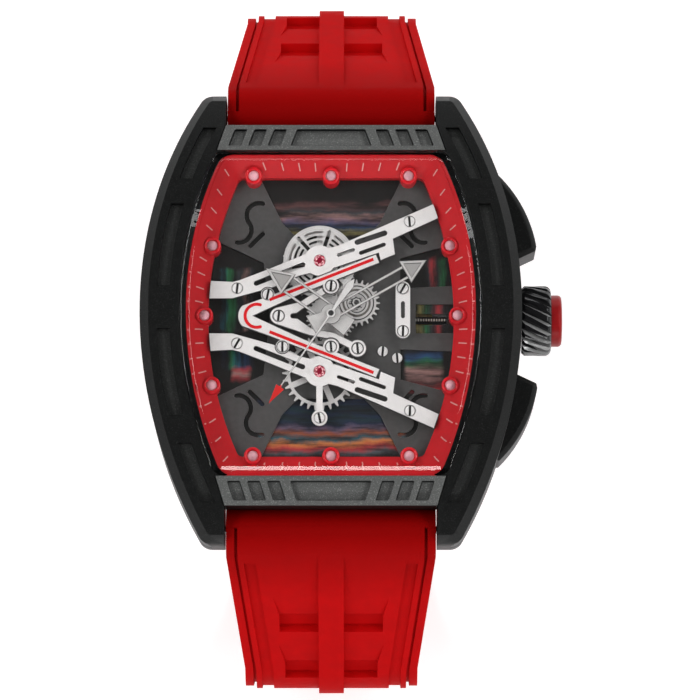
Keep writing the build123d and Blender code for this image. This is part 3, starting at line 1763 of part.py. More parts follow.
def buckle_spring_bar():
    half = strap_width / 2 + buckle_side_gap
    bar = Cylinder(spring_bar_radius, 2 * (half - part_gap))
    bar += Cylinder(spring_bar_tip_radius, 2 * (half + bar_tip_length - part_gap))
    return Pos(0, buckle_y, buckle_z) * Rot(0, 90, 0) * bar


def buckle_tang():
    """The tongue: an eye round the spring bar and a flat blade to the front bar."""
    eye = Pos(0, buckle_y, buckle_z) * Rot(0, 90, 0) * Cylinder(tang_eye_radius, tang_width)
    length = buckle_y - tang_tip_y
    blade = Pos(0, buckle_y - length / 2, floor_z + tang_thickness / 2) * Box(
        tang_width, length, tang_thickness
    )
    tip = blade.edges().filter_by(Axis.Z).sort_by(Axis.Y)[:2]
    blade = fillet(tip, tang_width / 4)
    body = eye + blade
    return body - Pos(0, buckle_y, buckle_z) * Rot(0, 90, 0) * Cylinder(
        spring_bar_radius + running_gap, 2 * strap_width
    )


nodes = {
    "case_middle": case_middle,
    "bezel_rail_left": lambda: bezel_rail(-1),
    "bezel_rail_right": lambda: bezel_rail(1),
    "bezel_bar_12": lambda: bezel_bar(1),
    "bezel_bar_6": lambda: bezel_bar(-1),
    "crystal": crystal,
    "crystal_gasket": crystal_gasket,
    "flange_ring": flange_ring,
    "minute_ticks": minute_ticks,
    "marker_cups": marker_cups,
    "marker_domes": marker_domes,
    "dial_base": dial_base,
    "dial_plate": dial_plate,
    "bridge_upper": lambda: main_bridge(1),
    "bridge_lower": lambda: main_bridge(-1),
    "bridge_nose": bridge_nose,
    "bridge_fork": bridge_fork,
    "bridge_cock": bridge_cock,
    "red_inlays": red_inlays,
    "jewel_settings": jewel_settings,
    "jewels": jewels,
    "dial_screws": dial_screws,
    "upper_gear": upper_gear,
    "upper_disc": upper_disc,
    "lower_wheel": lower_wheel,
    "centre_wheel": centre_wheel,
    "cannon_pinion": cannon_pinion,
    "minute_wheel": minute_wheel,
    "hour_wheel": hour_wheel,
    "seconds_arbor": seconds_arbor,
    "hour_hand": hour_hand,
    "minute_hand": minute_hand,
    "seconds_hand": seconds_hand,
    "movement_holder": movement_holder,
    "main_plate": main_plate,
    "battery": battery,
    "battery_contact": battery_contact,
    "coil": coil,
    "circuit_board": circuit_board,
    "setting_lever": setting_lever,
    "case_back": case_back,
    "case_back_gasket": case_back_gasket,
    "case_back_screws": case_back_screws,
    "crown": crown,
    "crown_cap": crown_cap,
    "crown_tube": crown_tube,
    "winding_stem": winding_stem,
    "pusher_upper": lambda: pusher(1),
    "pusher_lower": lambda: pusher(-1),
    "pusher_clip_upper": lambda: pusher_clip(1),
    "pusher_clip_lower": lambda: pusher_clip(-1),
    "pusher_spring_upper": lambda: pusher_spring(1),
    "pusher_spring_lower": lambda: pusher_spring(-1),
    "strap_12": strap_12,
    "strap_6": strap_6,
    "lug_spring_bars": lug_spring_bars,
    "keeper_free": keeper_free,
    "buckle_frame": buckle_frame,
    "buckle_tang": buckle_tang,
    "buckle_spring_bar": buckle_spring_bar,
}

for node_name, make in nodes.items():
    save(make(), node_name)
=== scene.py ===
# %% [markdown]
# A tonneau wristwatch, dressed for the camera.
# The CAD parts give every size and every joint. This lesson gives them their finishes, and remakes the
# pieces whose look depends on soft edges, smooth glass or many repeats.
# Everything is in metres, in the CAD's own frame: the dial faces +Z and 12 o'clock is at +Y.

# %% Load the frame
import math

import bmesh
import bpy
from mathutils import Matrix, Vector


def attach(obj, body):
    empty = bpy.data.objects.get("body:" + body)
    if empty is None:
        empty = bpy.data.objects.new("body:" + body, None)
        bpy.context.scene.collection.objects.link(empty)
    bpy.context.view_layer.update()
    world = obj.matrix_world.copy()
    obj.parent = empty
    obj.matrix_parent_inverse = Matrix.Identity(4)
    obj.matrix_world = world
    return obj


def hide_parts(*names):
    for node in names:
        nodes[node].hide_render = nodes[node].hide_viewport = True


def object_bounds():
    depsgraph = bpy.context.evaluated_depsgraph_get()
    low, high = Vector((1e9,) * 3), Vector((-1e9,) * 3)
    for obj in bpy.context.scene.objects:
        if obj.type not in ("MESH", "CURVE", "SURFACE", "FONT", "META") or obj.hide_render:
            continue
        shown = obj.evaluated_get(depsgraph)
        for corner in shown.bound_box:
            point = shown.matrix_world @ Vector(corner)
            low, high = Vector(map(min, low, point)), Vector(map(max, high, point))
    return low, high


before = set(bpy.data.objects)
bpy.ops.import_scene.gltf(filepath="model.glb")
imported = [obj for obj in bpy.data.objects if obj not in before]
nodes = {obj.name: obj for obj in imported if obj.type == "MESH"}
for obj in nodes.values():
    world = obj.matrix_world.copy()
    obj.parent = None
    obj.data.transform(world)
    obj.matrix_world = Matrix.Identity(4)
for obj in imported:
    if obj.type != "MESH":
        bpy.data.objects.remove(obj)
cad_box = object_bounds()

MM = 0.001

# %% [markdown]
# Sizes of the case, the crystal and the wheels' centres. They repeat the CAD's driving dimensions, so the
# remade pieces lie exactly where the solids are.

# %% Shared sizes
CASE_HEIGHT = 14.2 * MM
TOP_RADIUS = 55.0 * MM
CRYSTAL_HALF = (17.0 * MM, 18.65 * MM)
CRYSTAL_SIDE_RADIUS = 46.0 * MM
CRYSTAL_CORNER = 1.5 * MM
CRYSTAL_DROP = 0.3 * MM
CRYSTAL_THICKNESS = 1.4 * MM
CRYSTAL_BEVEL = (1.1 * MM, 0.52 * MM)
UPPER_HUB = (-1.3 * MM, 6.35 * MM, 0)
LOWER_HUB = (-1.3 * MM, -6.35 * MM, 0)
MOTION_HUB = (2.9 * MM, 1.7 * MM, 0)


def top_height(y, drop=0.0):
    """Height of the watch's curved top, lowered by a drop, at a distance y from the middle."""
    return CASE_HEIGHT - TOP_RADIUS + math.sqrt((TOP_RADIUS - drop) ** 2 - y**2)


print("top of the curve", round(top_height(0) / MM, 2), "mm")

# %% [markdown]
# Shader node groups. Fine grain and turned rings appear on many pieces, so each is one group with named
# inputs. They read Object coordinates, which are the watch's real sizes, so the grain keeps its true scale
# on every piece.


# %% Helpers for nodes
def feed(tree, socket, value):
    """Give an input a value, or link it to an output; a node stands for its first output."""
    if isinstance(value, bpy.types.Node):
        value = value.outputs[0]
    if isinstance(value, bpy.types.NodeSocket):
        tree.links.new(value, socket)
    else:
        socket.default_value = value


def add(tree, kind, *inputs, **settings):
    """One node, with its first inputs in order, and its settings and other inputs by name."""
    node = tree.nodes.new(kind)
    for key, value in settings.items():
        if hasattr(node, key):
            setattr(node, key, value)
        else:
            feed(tree, node.inputs[key.replace("_", " ")], value)
    for socket, value in zip(node.inputs, inputs):
        feed(tree, socket, value)
    return node


def object_place(tree):
    """The place on the object, in metres."""
    return add(tree, "ShaderNodeTexCoord").outputs["Object"]


def new_group(name, inputs, outputs, kind="ShaderNodeTree"):
    """A node group with named sockets, what its start node gives, and its end node."""
    group = bpy.data.node_groups.new(name, kind)
    for title, socket_kind, value in inputs:
        socket = group.interface.new_socket(
            name=title, in_out="INPUT", socket_type="NodeSocket" + socket_kind
        )
        if value is not None:
            socket.default_value = value
    for title, socket_kind in outputs:
        group.interface.new_socket(name=title, in_out="OUTPUT", socket_type="NodeSocket" + socket_kind)
    return group, add(group, "NodeGroupInput").outputs, add(group, "NodeGroupOutput")


print("helpers for nodes ready")


# %% The fine grain of coated metal
COARSE_SCALE_SHARE = 0.18


def make_grain_group():
    group, given, end = new_group(
        "fine_grain",
        [("Scale", "Float", 9000.0), ("Stretch", "Vector", (1, 1, 1)), ("Depth", "Float", 0.5)],
        [("Height", "Float"), ("Speckle", "Float"), ("Sparkle", "Float")],
    )
    place = add(group, "ShaderNodeVectorMath", object_place(group), given["Stretch"], operation="MULTIPLY")
    scale = given["Scale"]
    share = add(group, "ShaderNodeMath", scale, COARSE_SCALE_SHARE, operation="MULTIPLY")
    fine = add(group, "ShaderNodeTexNoise", place, Scale=scale, Detail=3.0, Roughness=0.6)
    coarse = add(group, "ShaderNodeTexNoise", place, Scale=share, Detail=2.0)
    height = add(group, "ShaderNodeMath", fine, given["Depth"], operation="MULTIPLY")
    glint = add(group, "ShaderNodeMapRange", fine, From_Min=0.54, From_Max=0.78)
    for title, node in (("Height", height), ("Speckle", coarse), ("Sparkle", glint)):
        feed(group, end.inputs[title], node)
    return group


grain_group = make_grain_group()
print("made", grain_group.name)


# %% The rings that a lathe or a polishing wheel leaves
def make_turned_group():
    group, given, end = new_group(
        "turned_rings",
        [("Centre", "Vector", (0, 0, 0)), ("Pitch", "Float", 9000.0)],
        [("Height", "Float"), ("Radius", "Float")],
    )
    offset = add(group, "ShaderNodeVectorMath", object_place(group), given["Centre"], operation="SUBTRACT")
    flat = add(group, "ShaderNodeVectorMath", offset, (1, 1, 0), operation="MULTIPLY")
    radius = add(group, "ShaderNodeVectorMath", flat, operation="LENGTH").outputs["Value"]
    noise = add(group, "ShaderNodeTexNoise", noise_dimensions="1D", W=radius, Detail=4.0, Roughness=0.7)
    feed(group, noise.inputs["Scale"], given["Pitch"])
    feed(group, end.inputs["Height"], noise)
    feed(group, end.inputs["Radius"], radius)
    return group


turned_group = make_turned_group()
print("made", turned_group.name)


# %% [markdown]
# Materials. A helper starts each one with a Principled shader, and others hang masks and groups on it, so
# that each finish reads as one line. Numbers that are the same all over a surface are set on the shader's
# own sockets.


# %% Start a material
def new_material(name, color, metallic=0.0, roughness=0.5, **settings):
    """A material with one Principled shader. Extra settings name its sockets."""
    material = bpy.data.materials.new(name)
    material.use_nodes = True
    shader = material.node_tree.nodes["Principled BSDF"]
    shader.inputs["Base Color"].default_value = (*color, 1)
    shader.inputs["Metallic"].default_value = metallic
    shader.inputs["Roughness"].default_value = roughness
    for key, value in settings.items():
        shader.inputs[key.replace("_", " ")].default_value = value
    return material


def use_group(material, group, **settings):
    """Place a node group in a material and set its inputs."""
    return add(material.node_tree, "ShaderNodeGroup", node_tree=group, **settings)


def drive(material, name, source):
    """Link a source to an input of the material's Principled shader."""
    tree = material.node_tree
    feed(tree, tree.nodes["Principled BSDF"].inputs[name], source)


def base_source(material):
    """What feeds the base colour at present."""
    return material.node_tree.nodes["Principled BSDF"].inputs["Base Color"].links[0].from_socket


print("materials can be started")


# %% Let a mask change the colour, the gloss or the height
def blend_color(material, mask, low, high):
    """Two colours mixed by a mask into the base colour."""
    ramp = add(material.node_tree, "ShaderNodeValToRGB", mask)
    for element, position, color in zip(ramp.color_ramp.elements, (0.3, 0.7), (low, high)):
        element.position = position
        element.color = (*color, 1)
    drive(material, "Base Color", ramp)
    return ramp


def vary_roughness(material, mask, low, high):
    """Let a mask move the roughness between two values."""
    spread = add(material.node_tree, "ShaderNodeMapRange", mask, To_Min=low, To_Max=high)
    drive(material, "Roughness", spread)


def bump(material, height, strength, distance):
    """Raise the surface by a height, without changing the mesh."""
    node = add(material.node_tree, "ShaderNodeBump", strength, distance, Height=height)
    drive(material, "Normal", node)


def paint_over(material, mask, color):
    """Lay another colour over the base colour where a mask is 1."""
    mix = add(material.node_tree, "ShaderNodeMixRGB", mask, base_source(material), (*color, 1))
    drive(material, "Base Color", mix)


def face_mask(material, name):
    """The output of an attribute that the script wrote on the faces."""
    return add(material.node_tree, "ShaderNodeAttribute", attribute_name=name).outputs["Fac"]


def product(material, first, second):
    """Two masks multiplied."""
    return add(material.node_tree, "ShaderNodeMath", first, second, operation="MULTIPLY")


print("masks can be hung on a material")


# %% Two finishes that many pieces share
GRAIN_DEPTH = 0.02 * MM
RING_DEPTH = 0.01 * MM


def grained(
    name, color, metallic, roughness, scale=9000.0, strength=0.3, spread=0.12, stretch=(1, 1, 1), **settings
):
    """A coated or blasted surface: fine grain in its height, its colour and its gloss."""
    material = new_material(name, color, metallic, roughness, **settings)
    grain = use_group(material, grain_group, Scale=scale, Stretch=stretch)
    grain.name = "grain"
    low = [channel * (1 - spread) for channel in color]
    high = [min(1.0, channel * (1 + spread)) for channel in color]
    speckle = grain.outputs["Speckle"]
    blend_color(material, speckle, low, high)
    vary_roughness(material, speckle, roughness * 0.85, min(1.0, roughness * 1.15))
    bump(material, grain.outputs["Height"], strength, GRAIN_DEPTH)
    return material


def turned(name, color, metallic, roughness, centre=(0, 0, 0)):
    """Bright metal with fine rings about a centre."""
    material = new_material(name, color, metallic, roughness)
    rings = use_group(material, turned_group, Centre=centre).outputs["Height"]
    low = [channel * 0.88 for channel in color]
    blend_color(material, rings, low, color)
    vary_roughness(material, rings, roughness * 0.7, min(1.0, roughness * 1.3))
    bump(material, rings, 0.25, RING_DEPTH)
    return material


def wear(material, *names):
    """Give a material to CAD nodes."""
    for name in names:
        slots = nodes[name].data.materials
        if len(slots):
            for index in range(len(slots)):
                slots[index] = material
        else:
            slots.append(material)


print("grained and turned finishes ready")

# %% [markdown]
# The case is coated black over a blasted surface. Seen close, it is a fine grain that glints here and
# there, and it is coarser on the floors of the pockets and on the two end bars. The glints are painted
# highlights, a mask from the grain group; the coarser places are faces that the script marks.

# %% The case's coatings
CASE_BASE = (0.006, 0.0064, 0.0063)
PAINTED_GLINT = (0.03, 0.031, 0.03)
CREST_HIGHLIGHT = (0.9, 0.9, 0.9)
COARSE_BASE = (0.115, 0.118, 0.115)
COARSE_PAINTED_GLINT = (0.34, 0.35, 0.34)
case_black, bezel_black = [
    grained(name, CASE_BASE, 0.0, 0.42, 7500.0, 0.3, Specular_IOR_Level=0.15)
    for name in ("case_black_coating", "bezel_black_coating")
]
# Painted highlights: the grain's sparkle mask lays glints over the black, and coarser ones on the pocket
# floors.
for material in (case_black, bezel_black):
    paint_over(material, material.node_tree.nodes["grain"].outputs["Sparkle"], PAINTED_GLINT)
coarse = use_group(bezel_black, grain_group, Scale=7000.0, Stretch=(1, 1, 1))
paint_over(bezel_black, face_mask(bezel_black, "pocket"), COARSE_BASE)
pocket_painted_glint = product(bezel_black, coarse.outputs["Sparkle"], face_mask(bezel_black, "pocket"))
paint_over(bezel_black, pocket_painted_glint, COARSE_PAINTED_GLINT)
back_black = turned("case_back_black", (0.03, 0.03, 0.032), 0.6, 0.38)
gloss_black = grained(
    "gloss_black_inner_edge", (0.003, 0.003, 0.003), 0.0, 0.16, 6000.0, 0.01, Specular_IOR_Level=0.08
)
crown_black = grained("crown_gloss_black", (0.012, 0.012, 0.013), 0.2, 0.14, 8000.0, 0.05)
# Painted highlight: the crests of the flutes, broken into streaks by a coarse noise.
highlight_streaks = use_group(crown_black, grain_group, Scale=4000.0, Stretch=(0.4, 1, 1))
crest_highlight = product(crown_black, highlight_streaks.outputs["Speckle"], face_mask(crown_black, "crest"))
paint_over(crown_black, crest_highlight, CREST_HIGHLIGHT)
cap_red = grained("crown_cap_red", (0.34, 0.006, 0.008), 0.0, 0.35, 8000.0, 0.1, Specular_IOR_Level=0.2)
print("case coatings made")

# %% [markdown]
# The strap is matte silicone. It shines hardly at all, so its specular level is low. Where it tucks in
# between the lugs it lies in shade, so a deeper red is painted there as shade, by its place on the strap,
# because it has to fade out, and a second material would end at a border.

# %% The strap's silicone
TUCKED_SHADE_RED = (0.28, 0.001, 0.001)
strap_red = grained(
    "strap_red_silicone", (0.57, 0.004, 0.005), 0.0, 0.6, 3500.0, 0.12, 0.05, Specular_IOR_Level=0.03
)


def range_mask(material, axis, start, end):
    """A mask that runs from 0 to 1 between two places on an axis, in millimetres; Y is taken both ways."""
    tree = material.node_tree
    away = add(tree, "ShaderNodeSeparateXYZ", object_place(tree)).outputs[axis]
    if axis == "Y":
        away = add(tree, "ShaderNodeMath", away, operation="ABSOLUTE")
    return add(tree, "ShaderNodeMapRange", away, From_Min=start * MM, From_Max=end * MM)


# Painted shade: the strap is a deeper red where it tucks in between the lugs.
tucked_shade = product(strap_red, range_mask(strap_red, "Y", 31.5, 25.0), range_mask(strap_red, "Z", -6.0, 0.0))
paint_over(strap_red, tucked_shade, TUCKED_SHADE_RED)
wear(case_black, "case_middle", "pusher_upper", "pusher_lower", "buckle_frame", "buckle_tang")
wear(bezel_black, "bezel_rail_left", "bezel_rail_right", "bezel_bar_12", "bezel_bar_6")
wear(back_black, "case_back")
wear(gloss_black, "crystal_gasket", "case_back_gasket")
wear(crown_black, "crown")
wear(cap_red, "crown_cap")
wear(strap_red, "strap_12", "strap_6", "keeper_free")
print("case finishes made")

# %% [markdown]
# Through the openings of the dial plate shows a dark foil with a rainbow sheen, like oil on water. The
# colours run in bands: across the dial at its top and foot, and along it at the sides. Each patch is a
# colour ramp over one coordinate, faded out over the other, and a slow noise makes the bands waver.

# %% The rainbow of the dial base
SHEEN = {
    "black": (0.0, 0.0, 0.0),
    "umber": (0.07, 0.026, 0.025),
    "slate": (0.02, 0.025, 0.03),
    "blush": (0.2, 0.11, 0.1),
    "mauve": (0.10, 0.07, 0.12),
    "blue": (0.01, 0.04, 0.11),
    "navy": (0.004, 0.012, 0.035),
    "deep": (0.003, 0.018, 0.024),
    "pewter": (0.05, 0.06, 0.07),
    "teal": (0.004, 0.08, 0.11),
    "green": (0.01, 0.12, 0.04),
    "ochre": (0.22, 0.19, 0.06),
    "rust": (0.26, 0.06, 0.018),
    "orange": (0.4, 0.13, 0.03),
    "red": (0.3, 0.02, 0.025),
}
FOOT = ("pewter", "red", "orange", "teal", "rust", "mauve", "navy", "deep", "navy", "deep", "navy", "navy")
BANDS = (
    ("Y", (9.4, 13.8), (-7.0, 7.5), ("ochre", "blue", "mauve", "blush", "slate", "umber")),
    ("Y", (-15.9, -8.6), (-8.5, 8.5), FOOT),
    ("Y", (-8.6, -2.9), (8.2, 13.0), ("red", "umber", "blush", "blush", "green", "blue", "navy")),
    ("Y", (-7.4, -5.3), (-11.6, -9.2), ("red", "blush", "red")),
    ("X", (-12.8, -8.8), (-1.6, 6.0), ("teal", "green", "green", "slate", "slate", "blush", "slate")),
    ("X", (-12.8, -8.8), (-6.0, -2.4), ("navy", "green", "teal", "blue", "navy")),
    ("X", (9.6, 13.6), (-2.2, 2.2), ("ochre", "green", "slate", "red", "slate")),
    ("X", (10.6, 13.2), (3.0, 7.4), ("slate", "red", "slate", "green")),
)
EDGE_FADE = 0.5
WAVER = (1.6 * MM, 2.2 * MM, 0)


def band_color(tree, place, band):
    """One patch of bands: a ramp along one axis, faded out beyond a range of the other."""
    axis, (start, end), (low, high), names = band
    along = add(tree, "ShaderNodeMapRange", place.outputs[axis], From_Min=start * MM, From_Max=end * MM)
    ramp = add(tree, "ShaderNodeValToRGB", along)
    elements = ramp.color_ramp.elements
    names = ("black",) + names + ("black",)
    while len(elements) < len(names):
        elements.new(0.5)
    for index, name in enumerate(names):
        elements[index].position = index / (len(names) - 1)
        elements[index].color = (*SHEEN[name], 1)
    across = place.outputs["X" if axis == "Y" else "Y"]
    offset = add(tree, "ShaderNodeMath", across, (low + high) / 2 * MM, operation="SUBTRACT")
    away = add(tree, "ShaderNodeMath", offset, operation="ABSOLUTE")
    half = (high - low) / 2
    fade = add(tree, "ShaderNodeMapRange", away, From_Min=half * MM, From_Max=(half - EDGE_FADE) * MM)
    squeeze = (1, 9, 1) if axis == "Y" else (9, 1, 1)
    lines = add(tree, "ShaderNodeVectorMath", object_place(tree), squeeze, operation="MULTIPLY")
    streak = add(tree, "ShaderNodeTexNoise", lines, Scale=150.0, Detail=4.0, Roughness=0.65)
    depth = add(tree, "ShaderNodeMapRange", streak, From_Min=0.38, From_Max=0.62, To_Min=0.15, To_Max=1.25)
    strength = add(tree, "ShaderNodeMath", depth, fade, operation="MULTIPLY")
    return add(tree, "ShaderNodeVectorMath", ramp, operation="SCALE", Scale=strength)


def make_rainbow(material):
    """Add the patches of bands to the material's base colour."""
    tree = material.node_tree
    here = object_place(tree)
    noise = add(tree, "ShaderNodeTexNoise", here, Scale=300.0, Detail=5.0, Roughness=0.6)
    shades = noise.outputs["Color"]
    centred = add(tree, "ShaderNodeVectorMath", shades, (0.5, 0.5, 0.5), operation="SUBTRACT")
    shifted = add(tree, "ShaderNodeVectorMath", centred, WAVER, here, operation="MULTIPLY_ADD")
    place = add(tree, "ShaderNodeSeparateXYZ", shifted)
    total = base_source(material)
    for band in BANDS:
        patch = band_color(tree, place, band)
        total = add(tree, "ShaderNodeMixRGB", 1.0, total, patch, blend_type="ADD")
    drive(material, "Base Color", total)


base_dark = grained(
    "dial_base_dark", (0.012, 0.0115, 0.011), 0.0, 0.4, 9000.0, 0.05, 0.08, Specular_IOR_Level=0.15
)
make_rainbow(base_dark)
print("rainbow patches", len(BANDS))

# %% [markdown]
# The dial's metals are satin silver. Their walls drop into the dark movement, so the faces that stand
# upright are marked by the script and painted nearly black, as painted shade and reflection of that dark:
# that draws the fine dark line round every bridge, wheel and hand. The rounding just inside that line
# mirrors the same dark, so it is painted grey, a painted reflection.

# %% The dial's finishes
SHADE_DARK = (0.02, 0.019, 0.018)
RIM_REFLECTION_GREY = (0.26, 0.25, 0.245)
INSET_GREY = (0.33, 0.32, 0.31)
flange_red = grained(
    "flange_red", (0.5, 0.008, 0.013), 0.0, 0.4, 9000.0, 0.05, 0.04, Specular_IOR_Level=0.12
)
cup_red = grained("marker_cup_red", (0.62, 0.006, 0.014), 0.0, 0.15, 9000.0, 0.03, 0.04)
# The luminous filling is pale; its pink tint is painted reflection of the red cup round it.
lume_with_red_reflection = grained("luminous_filling", (0.72, 0.36, 0.41), 0.0, 0.3, 2600.0, 0.1, 0.3)
tick_silver = grained("tick_silver", (0.6, 0.26, 0.24), 0.0, 0.4, 9000.0, 0.05, 0.03)
plate_grey = grained(
    "dial_plate_grey", (0.07, 0.069, 0.068), 0.0, 0.45, 9000.0, 0.1, 0.08, Specular_IOR_Level=0.12
)
bridge_silver = grained("bridge_silver", (0.7, 0.68, 0.67), 0.1, 0.35, 9000.0, 0.08, 0.03)
inlay_red = grained("inlay_red", (0.6, 0.008, 0.012), 0.0, 0.25, 9000.0, 0.03, 0.03)
hand_silver = grained("hand_silver", (0.5, 0.49, 0.48), 0.15, 0.32, 9000.0, 0.08, 0.04)
seconds_silver = grained("seconds_hand_silver", (0.6, 0.59, 0.58), 0.15, 0.3, 9000.0, 0.08, 0.04)
screw_silver = turned("screw_silver", (0.78, 0.77, 0.76), 0.1, 0.28)
wheel_silver = turned("wheel_silver", (0.6, 0.59, 0.58), 0.15, 0.3, UPPER_HUB)
# The lower wheel takes a lighter copy of the wheels' silver: painted light, since it lies in shadow.
wheel_low_lit_silver = turned("lower_wheel_silver_lit", (0.74, 0.73, 0.72), 0.15, 0.32, LOWER_HUB)
motion_silver = turned("motion_wheel_silver", (0.58, 0.57, 0.56), 0.15, 0.32, MOTION_HUB)
# The centre wheel and the cannon pinion lie under the others: their near black is painted shade.
wheel_in_shade = turned("dark_wheel", (0.05, 0.05, 0.05), 0.3, 0.35)
steel = turned("plain_steel", (0.5, 0.5, 0.5), 0.9, 0.3)
CUT_METALS = [bridge_silver, hand_silver, seconds_silver, screw_silver]
CUT_METALS += [wheel_silver, wheel_low_lit_silver, motion_silver, plate_grey]
# Painted shade and reflection on the walls, and painted reflection on the roundings, of each cut metal.
for material in CUT_METALS:
    paint_over(material, face_mask(material, "rim"), RIM_REFLECTION_GREY)
    paint_over(material, face_mask(material, "wall"), SHADE_DARK)
paint_over(hand_silver, face_mask(hand_silver, "inset"), INSET_GREY)
print("dial finishes made, dark walls on", len(CUT_METALS))

# %% Give the dial's finishes to its pieces
BRIDGES = ("bridge_upper", "bridge_lower", "bridge_nose", "bridge_fork", "bridge_cock")
wear(flange_red, "flange_ring")
wear(cup_red, "marker_cups")
wear(lume_with_red_reflection, "marker_domes")
wear(tick_silver, "minute_ticks")
wear(plate_grey, "dial_plate")
wear(base_dark, "dial_base")
wear(bridge_silver, *BRIDGES, "jewel_settings")
wear(inlay_red, "red_inlays")
wear(hand_silver, "hour_hand", "minute_hand")
wear(seconds_silver, "seconds_hand")
wear(screw_silver, "dial_screws", "case_back_screws")
wear(wheel_silver, "upper_gear", "upper_disc")
wear(wheel_low_lit_silver, "lower_wheel")
wear(motion_silver, "minute_wheel", "hour_wheel")
wear(wheel_in_shade, "centre_wheel", "cannon_pinion")
wear(steel, "seconds_arbor", "crown_tube", "lug_spring_bars", "buckle_spring_bar", "setting_lever")
wear(steel, "pusher_clip_upper", "pusher_clip_lower", "pusher_spring_upper", "pusher_spring_lower")
wear(steel, "battery_contact", "battery")
print("dial pieces dressed")


# %% [markdown]
# Painted and turned rings. The seconds hand has a painted tip and a dark pivot, which is painted shade in
# the hole at its centre, and the wheel of the motion work has turned grooves, painted dark as shade in
# their recesses. A distance from the centre is all the mask that they need, and no mesh has to be cut for
# them.


# %% Rings about a centre
def radius_mask(material, start, end, centre=(0, 0, 0)):
    """1 beyond a distance from a centre, fading in between two distances in millimetres."""
    away = use_group(material, turned_group, Centre=centre).outputs["Radius"]
    tree = material.node_tree
    return add(tree, "ShaderNodeMapRange", away, From_Min=start * MM, From_Max=end * MM)


def ring_line(material, centre, radius, width, color):
    """A recessed line round a centre, painted in as shade: both fade steps of one radius multiplied."""
    outside = radius_mask(material, radius - width / 2 - 0.03, radius - width / 2, centre)
    inside = radius_mask(material, radius + width / 2 + 0.03, radius + width / 2, centre)
    paint_over(material, product(material, outside, inside), color)


GROOVE_SHADE_GREY = (0.12, 0.11, 0.1)
GROOVE_SHADES = ((1.95, 0.1, SHADE_DARK), (1.5, 0.22, GROOVE_SHADE_GREY), (1.1, 0.08, SHADE_DARK), (0.55, 0.1, SHADE_DARK))
TIP_RED = (0.58, 0.012, 0.01)
PIVOT_HOLE_SHADE = (0.03, 0.03, 0.03)
# Painted shade in the grooves of the motion wheel.
for radius, width, color in GROOVE_SHADES:
    ring_line(motion_silver, MOTION_HUB, radius, width, color)
paint_over(seconds_silver, radius_mask(seconds_silver, 9.95, 10.0), TIP_RED)
# Painted shade in the hole at the seconds hand's centre.
paint_over(seconds_silver, radius_mask(seconds_silver, 0.34, 0.28), PIVOT_HOLE_SHADE)
print("grooves", len(GROOVE_SHADES))

# %% [markdown]
# The stem shows through an opening of the dial as a dark rod with a fine bright thread. It is too thin in
# the picture for a cut thread to be worth its faces, so a wave moves its colour, its gloss and its height.
# The bright crests along the rod's top line are a painted highlight.


# %% The thread of the stem
THREAD_DARK = (0.006, 0.006, 0.006)
THREAD_HIGHLIGHT = (0.5, 0.47, 0.42)


def make_thread(name, pitch):
    """Dark steel with crests that repeat along X, and a painted highlight on them along the rod's top line.
    """
    material = new_material(name, (0.05, 0.05, 0.05), 0.4, 0.35)
    tree = material.node_tree
    along = add(tree, "ShaderNodeSeparateXYZ", object_place(tree)).outputs["X"]
    turns = add(tree, "ShaderNodeMath", along, 2 * math.pi / (pitch * MM), operation="MULTIPLY")
    crest = add(tree, "ShaderNodeMath", turns, operation="SINE")
    share = add(tree, "ShaderNodeMapRange", crest, From_Min=-1.0, From_Max=1.0)
    crest_highlights = product(material, share, range_mask(material, "Y", 0.2, 0.1))
    blend_color(material, crest_highlights, THREAD_DARK, THREAD_HIGHLIGHT)
    vary_roughness(material, share, 0.5, 0.25)
    bump(material, share, 0.6, 0.05 * MM)
    return material


stem_thread = make_thread("stem_thread", 0.3)
wear(stem_thread, "winding_stem")
print("made", stem_thread.name)

# %% The movement's finishes, hidden under the dial
holder_grey = grained("holder_grey_plastic", (0.25, 0.25, 0.25), 0.0, 0.5, 5000.0, 0.2)
plate_brass = turned("movement_brass", (0.55, 0.42, 0.2), 0.9, 0.3)
coil_copper = grained("coil_copper", (0.5, 0.18, 0.06), 0.7, 0.35, 9000.0, 0.4, 0.1, (20, 1, 1))
board_green = grained("board_green", (0.02, 0.16, 0.06), 0.0, 0.35, 6000.0, 0.05)
wear(holder_grey, "movement_holder")
wear(plate_brass, "main_plate")
wear(coil_copper, "coil")
wear(board_green, "circuit_board")
print("movement finishes made")

# %% [markdown]
# Soft edges. A real case, bridge or strap never has a knife edge: each one is rounded and catches a line
# of light. The CAD triangles are merged back into whole faces, a Bevel modifier rounds every edge that is
# sharper than a limit, and weighted normals keep the flat faces flat.


# %% A soft-edged copy of a CAD node
SHARP = math.radians(32.0)


def put(name, data):
    """A new object in the scene."""
    made = bpy.data.objects.new(name, data)
    bpy.context.scene.collection.objects.link(made)
    return made


def merged_mesh(name):
    """A node's triangles as one mesh of whole faces."""
    mesh = nodes[name].data.copy()
    shape = bmesh.new()
    shape.from_mesh(mesh)
    bmesh.ops.remove_doubles(shape, verts=shape.verts, dist=0.001 * MM)
    bmesh.ops.dissolve_limit(shape, angle_limit=math.radians(0.5), verts=shape.verts, edges=shape.edges)
    for face in shape.faces:
        face.smooth = True
    for edge in shape.edges:
        edge.smooth = True
    shape.to_mesh(mesh)
    shape.free()
    return mesh


def baked(made):
    """The object's shape with its modifiers applied, as a plain mesh."""
    view = bpy.context.evaluated_depsgraph_get()
    view.update()
    mesh = bpy.data.meshes.new_from_object(made.evaluated_get(view))
    made.modifiers.clear()
    made.data = mesh
    return made


def mark_faces(made, name, test):
    """Write what a test gives for each face, from 0 to 1, as an attribute that a material can read."""
    attribute = made.data.attributes.new(name, "FLOAT", "FACE")
    attribute.data.foreach_set("value", [float(test(face)) for face in made.data.polygons])


